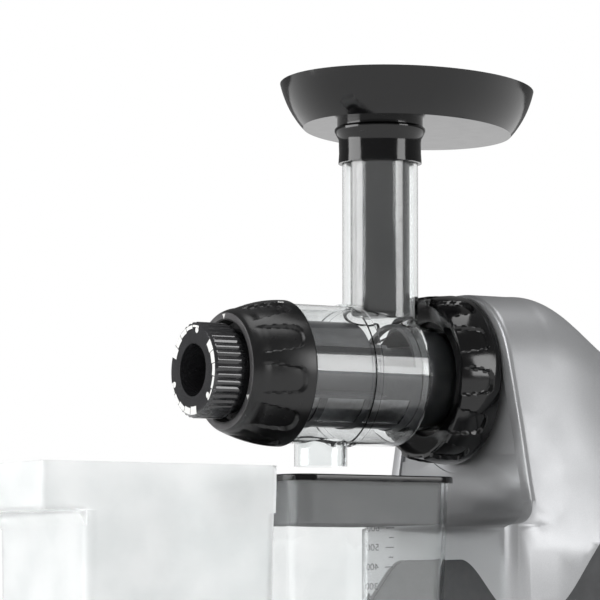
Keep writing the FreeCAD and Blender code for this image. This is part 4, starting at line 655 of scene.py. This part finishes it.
class JUICER_OT_end_cap(bpy.types.Operator):
    """Adds the satin black end cap, its grey bezel and the marks on it"""
    bl_idname = "juicer.end_cap"
    bl_label = "End cap"

    def execute(self, context):
        low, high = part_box("end_cap")
        bezel_low, bezel_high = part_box("cap_bezel")
        front = bezel_low.y + 0.3 * MM
        rear = high.y
        front_r, rear_r = 33.6 * MM, 41.3 * MM
        bore_r, tube_r, tube_bore_r = 35.5 * MM, 16.0 * MM, 13.0 * MM
        mouth_r, mouth_y = 39.9 * MM, rear - 1.8 * MM
        pocket_r, back_y = 28.5 * MM, front + 9.1 * MM
        inner_y = back_y + 4.5 * MM
        rows, smooth_deg = 60, 40.0
        length = rear - front
        skin_t = 0.6 * MM

        def outer_radius(t):
            t = min(1.0, max(0.0, t))
            return front_r + (rear_r - front_r) * math.sin(t * math.pi / 2) ** 0.85

        outer = []
        for i in range(rows + 1):
            t = i / rows
            y = front + 1.0 * MM + (length - 1.8 * MM) * t
            outer.append((outer_radius(t), y))
        corners = [(front_r - 1.0 * MM, front)] + outer
        corners += [(rear_r - 0.5 * MM, rear - 0.15 * MM), (rear_r - 0.9 * MM, rear), (mouth_r, rear),
                    (mouth_r, mouth_y), (bore_r, mouth_y), (bore_r, inner_y),
                    (tube_bore_r, inner_y), (tube_bore_r, low.y), (tube_r, low.y), (tube_r, back_y),
                    (pocket_r, back_y, 1.0 * MM), (pocket_r, front, 0.5 * MM)]
        piece = turn_profile("grip_cap", corners, AXIS, "Y", steps=360, smooth_deg=smooth_deg)
        count = sizes().cap_recesses
        deep = sizes().cap_recess_depth

        def depth_at(angle, y, radius):
            t = (y - front) / length
            if radius < outer_radius(t) - skin_t:
                return 0.0
            mask = pocket_mask(angle, t, count, phase_deg=-9, front_share=0.84, rear_share=0.54,
                               rear_t=0.84, soft_angle=0.08)
            lead = smoothstep(0.09, 0.30, t)
            return deep * mask * lead * (0.35 + 0.65 * t / 0.8)

        press_in(piece, depth_at, smooth_deg)
        place(piece, "cap_body", satin_black_abs(), "black_satin", "end_cap")

        bezel_r, bezel_bore_r, bezel_round = front_r - 0.9 * MM, pocket_r + 0.8 * MM, 0.25 * MM
        ring = turn_profile("bezel_ring", [
            (bezel_r, bezel_high.y), (bezel_r, bezel_low.y, bezel_round),
            (bezel_bore_r, bezel_low.y, bezel_round), (bezel_bore_r, bezel_high.y)],
            AXIS, "Y", steps=160)
        place(ring, "cap_body", grey_bezel_abs(), "grey_plastic", "cap_bezel")
        for i, deg in enumerate((90, 210, 330)):
            mark = self.pointer(f"bezel_mark_{i + 1}", deg, front_r, pocket_r, bezel_low.y)
            place(mark, "cap_body", printed_white(), "grey_plastic")
        lock = self.lock_sign(front, length, outer_radius)
        place(lock, "cap_body", printed_white(), "grey_plastic")
        return {"FINISHED"}

    def pointer(self, name, deg, front_r, pocket_r, y):
        """A small triangle that points to the middle of the dial."""
        deselect_all()
        bpy.ops.mesh.primitive_circle_add(vertices=3, radius=1.9 * MM, fill_type="NGON", location=(0, 0, 0))
        mark = bpy.context.object
        mark.name = name
        mark.data.name = name
        bpy.ops.object.mode_set(mode="EDIT")
        bpy.ops.mesh.select_all(action="SELECT")
        bpy.ops.mesh.extrude_region_move(TRANSFORM_OT_translate={"value": (0, 0, 0.08 * MM)})
        bpy.ops.object.mode_set(mode="OBJECT")
        radius = (front_r + pocket_r) / 2
        a = math.radians(deg)
        spot = Vector((radius * math.cos(a), y - 0.01 * MM, AXIS.z + radius * math.sin(a)))
        mark.data.transform(Matrix.Rotation(-a - math.pi / 2, 4, "Z") @ Matrix.Rotation(math.pi, 4, "Y"))
        mark.data.transform(Matrix.Translation(spot) @ Matrix.Rotation(math.pi / 2, 4, "X"))
        close_up(mark)
        return mark

    def lock_sign(self, front, length, outer_radius):
        """A small printed circle near the cap's rear, at the top."""
        t = 0.80
        a = math.radians(72)
        radius = outer_radius(t) + 0.03 * MM
        deselect_all()
        bpy.ops.mesh.primitive_torus_add(major_radius=1.5 * MM, minor_radius=0.22 * MM, major_segments=40,
                                         minor_segments=8, location=(0, 0, 0))
        sign = bpy.context.object
        sign.name = "lock_sign"
        sign.data.name = "lock_sign"
        spot = Vector((radius * math.cos(a), front + length * t, AXIS.z + radius * math.sin(a)))
        sign.data.transform(Matrix.Translation(spot) @ Matrix.Rotation(-(a - math.pi / 2), 4, "Y"))
        close_up(sign)
        return sign


class JUICER_OT_dial(bpy.types.Operator):
    """Adds the ribbed pressure dial and its printed face"""
    bl_idname = "juicer.dial"
    bl_label = "Pressure dial"

    def execute(self, context):
        low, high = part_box("dial")
        face_low, face_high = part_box("dial_face")
        front, rear = face_low.y, high.y
        radius = 26.8 * MM
        bore_r, neck_r = 14.8 * MM, 24.0 * MM
        skirt_y = front + 18.3 * MM
        guide_r, guide_y = 16.3 * MM, front + 16.4 * MM
        rows, steps_per_rib, smooth_deg = 8, 12, 48.0
        side_front, side_rear = front + 1.5 * MM, skirt_y - 0.5 * MM
        side = []
        for i in range(rows + 1):
            side.append((radius, side_front + (side_rear - side_front) * i / rows))
        corners = [(bore_r, front, 0.6 * MM), (radius - 1.7 * MM, front, 0.3 * MM),
                   (radius - 1.1 * MM, front + 0.9 * MM)] + side
        corners += [(radius - 0.5 * MM, skirt_y), (neck_r, skirt_y), (neck_r, rear), (guide_r, rear),
                    (guide_r, guide_y), (bore_r, guide_y), (bore_r, front + 1.0 * MM)]
        count = sizes().dial_ribs
        piece = turn_profile("ribbed_dial", corners, AXIS, "Y", steps=count * steps_per_rib,
                             smooth_deg=smooth_deg)
        height = sizes().rib_height
        rib_low_r = radius - 0.8 * MM

        def depth_at(angle, y, r):
            if r < rib_low_r:
                return 0.0
            return height * (1 - abs(math.cos(angle * count / 2)))

        press_in(piece, depth_at, smooth_deg)
        place(piece, "dial_body", smoky_polycarbonate(), "smoke_plastic", "dial", "dial_face")
        self.print_face(front)
        return {"FINISHED"}

    def print_face(self, front):
        """Three dots, each followed by five bars that grow wider."""
        dot_r, ring_r, bars_r = 1.7 * MM, 22.4 * MM, 24.9 * MM
        first_w_mm, wider_mm = 1.1, 0.85
        print_y = front - PRINT_LIFT
        groups, bars = 3, 5
        bar_deg, gap_deg = 16.2, 1.2
        first_dot, after_dot = 78.5, 12.0
        inks = []
        for g in range(groups):
            dot_deg = first_dot + g * 360 / groups
            inks.append(self.dot(f"dial_dot_{g + 1}", dot_deg, ring_r, dot_r, print_y))
            for b in range(bars):
                start = dot_deg + after_dot + b * (bar_deg + gap_deg)
                width = (first_w_mm + wider_mm * b) * MM
                name = f"dial_bar_{g + 1}_{b + 1}"
                inks.append(self.bar(name, start, bar_deg, bars_r, width, print_y))
        for ink in inks:
            place(ink, "dial_body", printed_white(), "smoke_plastic")

    def dot(self, name, deg, ring_r, dot_r, y):
        """A round dot on the dial's face."""
        a = math.radians(deg)
        deselect_all()
        bpy.ops.mesh.primitive_circle_add(vertices=28, radius=dot_r, fill_type="NGON",
                                          location=(ring_r * math.cos(a), y, AXIS.z + ring_r * math.sin(a)),
                                          rotation=(math.pi / 2, 0, 0))
        return self.thicken(name)

    def bar(self, name, start_deg, sweep_deg, outer_r, width, y):
        """A curved bar: one edge spun about the dial's axis."""
        a = math.radians(start_deg)
        inner = Vector(((outer_r - width) * math.cos(a), y, AXIS.z + (outer_r - width) * math.sin(a)))
        outer = Vector((outer_r * math.cos(a), y, AXIS.z + outer_r * math.sin(a)))
        piece = start_chain(name, [inner, outer])
        bpy.ops.mesh.select_all(action="SELECT")
        bpy.ops.mesh.spin(steps=8, angle=math.radians(sweep_deg), center=AXIS, axis=(0, -1, 0))
        bpy.ops.object.mode_set(mode="OBJECT")
        return self.thicken(name)

    def thicken(self, name):
        """Gives the active flat mark its name and its thickness."""
        piece = bpy.context.object
        piece.name = name
        piece.data.name = name
        make_active(piece)
        bpy.ops.object.transform_apply(location=True, rotation=True, scale=True)
        bpy.ops.object.mode_set(mode="EDIT")
        bpy.ops.mesh.select_all(action="SELECT")
        bpy.ops.mesh.extrude_region_move(TRANSFORM_OT_translate={"value": (0, PRINT_T, 0)})
        close_up(piece)
        return piece


class JUICER_OT_tray(bpy.types.Operator):
    """Adds the gloss black hopper tray and its collar"""
    bl_idname = "juicer.tray"
    bl_label = "Hopper tray"

    def execute(self, context):
        piece = smooth_copy("hopper_tray", "oval_tray")
        place(piece, "tray_body", gloss_black_abs(), "black_gloss", "hopper_tray")
        return {"FINISHED"}


class JUICER_OT_cup(bpy.types.Operator):
    """Adds the juice cup with its printed scale, and the strainer lid"""
    bl_idname = "juicer.cup"
    bl_label = "Juice cup"

    def execute(self, context):
        cup = smooth_copy("juice_cup", "clear_cup")
        place(cup, "cup_body", clear_copolyester(), "clear_plastic", "juice_cup")
        plate_t = 3.6 * MM
        split_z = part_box("strainer_lid")[1].z - plate_t - 0.02 * MM
        for name, above, finish, slot in (
                ("lid_plate", True, gloss_black_abs(), "black_gloss"),
                ("lid_skirt", False, smoked_strainer(), "smoke_plastic")):
            piece = copy_node("strainer_lid", name)
            self.keep_part(piece, split_z, above)
            bpy.ops.object.shade_smooth_by_angle(angle=math.radians(GENTLE_BEND_DEG))
            place(piece, "lid_body", finish, slot, "strainer_lid")
        self.scale()
        return {"FINISHED"}

    def keep_part(self, piece, split_z, above):
        """Deletes the faces above or below a level."""
        make_active(piece)
        bpy.ops.object.mode_set(mode="EDIT")
        bpy.ops.mesh.select_all(action="DESELECT")
        bpy.ops.object.mode_set(mode="OBJECT")
        for face in piece.data.polygons:
            lowest = min(piece.data.vertices[v].co.z for v in face.vertices)
            face.select = (lowest > split_z) != above
        bpy.ops.object.mode_set(mode="EDIT")
        bpy.ops.mesh.select_mode(type="FACE")
        bpy.ops.mesh.delete(type="FACE")
        bpy.ops.object.mode_set(mode="OBJECT")

    def scale(self):
        """Millilitre marks and numbers on the wall that faces the housing."""
        low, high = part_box("juice_cup")
        zero_z, step, half_steps = 6.9 * MM, 11.26 * MM, 14
        long_w, short_w = 8.8 * MM, 5.0 * MM
        long_x, short_x = -16.9 * MM, -15.0 * MM
        line_t, ink_t, ink_lift = 0.6 * MM, 0.08 * MM, 0.05 * MM
        lean = 3.1 * MM / (high.z - low.z)
        for i in range(1, half_steps + 1):
            hundreds = i / 2
            z = zero_z + hundreds * step
            long_mark = i % 2 == 0
            width = long_w if long_mark else short_w
            wall_y = high.y - lean * (high.z - z) + ink_lift
            x = long_x if long_mark else short_x
            deselect_all()
            bpy.ops.mesh.primitive_cube_add(size=1, location=(x, wall_y, z), scale=(width, ink_t, line_t))
            tick = bpy.context.object
            tick.name = f"scale_tick_{i:02d}"
            tick.data.name = tick.name
            place(tick, "cup_body", printed_black(), "clear_plastic")
            if long_mark:
                self.number(str(int(hundreds * 100)), x, wall_y, z)

    def number(self, words, x, wall_y, z):
        """A printed number beside a long mark, turned to be read from the housing's side."""
        wide, tall, beside = 14.2 * MM, 3.9 * MM, 11.0 * MM
        deselect_all()
        bpy.ops.object.text_add(location=(0, 0, 0))
        text = bpy.context.object
        text.data.body = words
        text.data.size = 5.4 * MM
        text.data.extrude = 0.04 * MM
        text.data.align_x = "LEFT"
        text.data.align_y = "CENTER"
        bpy.ops.object.convert(target="MESH")
        piece = bpy.context.object
        piece.name = f"scale_number_{words}"
        piece.data.name = piece.name
        stretch = Matrix.Diagonal((wide / piece.dimensions.x, tall / piece.dimensions.y, 1.0, 1.0))
        turn = Matrix.Rotation(math.pi, 4, "Z") @ Matrix.Rotation(math.pi / 2, 4, "X")
        piece.data.transform(Matrix.Translation((x - beside, wall_y, z)) @ turn @ stretch)
        close_up(piece)
        place(piece, "cup_body", printed_black(), "clear_plastic")


class JUICER_OT_bin(bpy.types.Operator):
    """Adds the frosted pulp bin"""
    bl_idname = "juicer.bin"
    bl_label = "Pulp bin"

    def execute(self, context):
        piece = smooth_copy("pulp_bin", "frosted_bin")
        place(piece, "bin_body", frosted_polypropylene(), "frosted_plastic", "pulp_bin")
        return {"FINISHED"}


class JUICER_OT_drum(bpy.types.Operator):
    """Adds the clear drum and what shows inside it"""
    bl_idname = "juicer.drum"
    bl_label = "Clear drum"

    def execute(self, context):
        for node, name, body, finish, slot in (
                ("drum", "clear_drum", "housing", clear_copolyester(), "clear_plastic"),
                ("auger", "screw_auger", "auger_body", auger_resin(), "auger_plastic"),
                ("juicing_screen", "screen_frame", "housing", auger_resin(), "auger_plastic")):
            piece = smooth_copy(node, name)
            place(piece, body, finish, slot, node)
        self.sleeve()
        self.plunger()
        return {"FINISHED"}

    def sleeve(self):
        """The dark scalloped sleeve that shows through the drum's neck."""
        ring_low, ring_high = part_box("locking_ring")
        outer_r, inner_r = 27.65 * MM, 27.1 * MM
        front, rear = ring_low.y - 14.5 * MM, ring_high.y - 20.0 * MM
        scallops, scallop = 16, 1.4 * MM
        piece = turn_profile("neck_sleeve", [
            (inner_r, rear), (outer_r, rear), (outer_r, front), (inner_r, front)], AXIS, "Y", steps=192)
        for vertex in piece.data.vertices:
            if abs(vertex.co.y - rear) < 0.01 * MM:
                angle = math.atan2(vertex.co.z - AXIS.z, vertex.co.x)
                vertex.co.y -= scallop * abs(math.sin(angle * scallops / 2))
        place(piece, "housing", smoked_sleeve(), "smoke_plastic")

    def plunger(self):
        """The polished dark rod in the chute."""
        low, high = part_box("plunger_rod")
        centre = middle("plunger_rod")
        radius, wall, floor_t = 17.0 * MM, 2.0 * MM, 3.0 * MM
        piece = turn_profile("chute_plunger", [
            (0, low.z), (radius, low.z, 2.0 * MM), (radius, high.z), (radius - wall, high.z),
            (radius - wall, low.z + floor_t), (0, low.z + floor_t)], centre, "Z", steps=96, closed=False)
        place(piece, "plunger_body", gloss_black_abs(), "smoke_plastic", "plunger_rod")


class JUICER_OT_stage(bpy.types.Operator):
    """Adds the floor, the soft lights and the camera"""
    bl_idname = "juicer.stage"
    bl_label = "Stage"

    def execute(self, context):
        scene = context.scene
        scene.view_settings.view_transform = "Standard"
        self.floor()
        self.world(scene)
        self.lamps()
        self.camera(scene)
        return {"FINISHED"}

    def floor(self):
        """A pale floor that glows where glossy pieces mirror it."""
        deselect_all()
        bpy.ops.mesh.primitive_plane_add(size=14.0, location=(0, 0, -0.0002))
        floor = bpy.context.object
        floor.name = "studio_floor"

        def build(tree):
            path = add_node(tree, "ShaderNodeLightPath")
            paint = add_node(tree, "ShaderNodeBsdfPrincipled", {
                "Base Color": rgba(linear("#F1F1F0")), "Roughness": 0.6})
            glow = add_node(tree, "ShaderNodeEmission", {"Color": (1, 1, 1, 1), "Strength": 0.9})
            return add_node(tree, "ShaderNodeMixShader", {
                0: path.outputs["Is Glossy Ray"], 1: paint.outputs[0], 2: glow.outputs[0]})
        floor.data.materials.append(material("pale_floor", build))

    def world(self, scene):
        """White to the camera and through clear pieces, grey as a light and dark in reflections."""
        as_light, in_reflections = 0.55, 0.16
        world = bpy.data.worlds.new("studio")
        scene.world = world
        world.use_nodes = True
        tree = world.node_tree
        tree.nodes.clear()
        path = add_node(tree, "ShaderNodeLightPath")
        seen = add_node(tree, "ShaderNodeMath", {
            0: path.outputs["Is Camera Ray"], 1: path.outputs["Is Transmission Ray"]}, operation="MAXIMUM")
        soft = add_node(tree, "ShaderNodeMath", {
            0: path.outputs["Is Diffuse Ray"], 1: as_light}, operation="MULTIPLY")
        both = add_node(tree, "ShaderNodeMath", {
            0: seen.outputs[0], 1: soft.outputs[0]}, operation="MAXIMUM")
        level = add_node(tree, "ShaderNodeMath", {
            0: both.outputs[0], 1: in_reflections}, operation="MAXIMUM")
        light = add_node(tree, "ShaderNodeBackground", {"Color": (1, 1, 1, 1), "Strength": level.outputs[0]})
        add_node(tree, "ShaderNodeOutputWorld", {"Surface": light.outputs[0]})

    def lamps(self):
        """Three square softboxes, each with its place, width in metres and power in watts."""
        lamps = (
            ("key_softbox", (-0.55, -1.75, 0.50), 1.3, 26.0),
            ("side_softbox", (1.8, 0.9, 0.7), 0.9, 12.0),
            ("top_softbox", (0.1, 0.1, 1.7), 1.0, 8.0),
        )
        aim = Vector((0.0, -0.12, 0.17))
        for name, spot, size, power in lamps:
            lamp = bpy.data.lights.new(name, "AREA")
            lamp.shape = "SQUARE"
            lamp.size = size
            lamp.energy = power
            holder = bpy.data.objects.new(name, lamp)
            holder.location = spot
            holder.rotation_euler = (aim - Vector(spot)).to_track_quat("-Z", "Y").to_euler()
            bpy.context.scene.collection.objects.link(holder)

    def camera(self, scene):
        """The photograph's viewpoint: a long lens, low down, tilted a little up."""
        azimuth, tilt_up = math.radians(59.29), math.radians(5.11)
        focal_px, image_px, sensor_mm = 3437.5, 600, 36.0
        data = bpy.data.cameras.new("photo_camera")
        data.sensor_width = sensor_mm
        data.lens = focal_px / image_px * sensor_mm
        data.clip_start, data.clip_end = 0.05, 40.0
        camera = bpy.data.objects.new("photo_camera", data)
        camera.location = (1.6644, -1.1761, 0.0289)
        camera.rotation_euler = (math.pi / 2 + tilt_up, 0.0, azimuth)
        scene.collection.objects.link(camera)
        scene.camera = camera


class JUICER_PT_panel(bpy.types.Panel):
    """The juicer's pieces, sizes and colours in the sidebar"""
    bl_label = "Cold press juicer"
    bl_idname = "JUICER_PT_panel"
    bl_space_type = "VIEW_3D"
    bl_region_type = "UI"
    bl_category = "Juicer"

    def draw(self, context):
        layout = self.layout
        for group in (context.scene.juicer_sizes, context.scene.juicer_colours):
            for key in group.bl_rna.properties.keys():
                if key not in ("rna_type", "name"):
                    layout.prop(group, key)
        for operator in OPERATORS:
            layout.operator(operator.bl_idname)


OPERATORS = (
    JUICER_OT_stage,
    JUICER_OT_finishes,
    JUICER_OT_housing,
    JUICER_OT_locking_ring,
    JUICER_OT_end_cap,
    JUICER_OT_dial,
    JUICER_OT_drum,
    JUICER_OT_tray,
    JUICER_OT_cup,
    JUICER_OT_bin,
)
CLASSES = (JuicerSizes, JuicerColours, *OPERATORS, JUICER_PT_panel)


def register():
    for made in CLASSES:
        bpy.utils.register_class(made)
    bpy.types.Scene.juicer_sizes = bpy.props.PointerProperty(type=JuicerSizes)
    bpy.types.Scene.juicer_colours = bpy.props.PointerProperty(type=JuicerColours)


def unregister():
    del bpy.types.Scene.juicer_colours
    del bpy.types.Scene.juicer_sizes
    for made in reversed(CLASSES):
        bpy.utils.unregister_class(made)


def main():
    register()
    bpy.ops.juicer.stage()
    bpy.ops.juicer.finishes()
    bpy.ops.juicer.housing()
    bpy.ops.juicer.locking_ring()
    bpy.ops.juicer.end_cap()
    bpy.ops.juicer.dial()
    bpy.ops.juicer.drum()
    bpy.ops.juicer.tray()
    bpy.ops.juicer.cup()
    bpy.ops.juicer.bin()


if __name__ == "__main__":
    main()
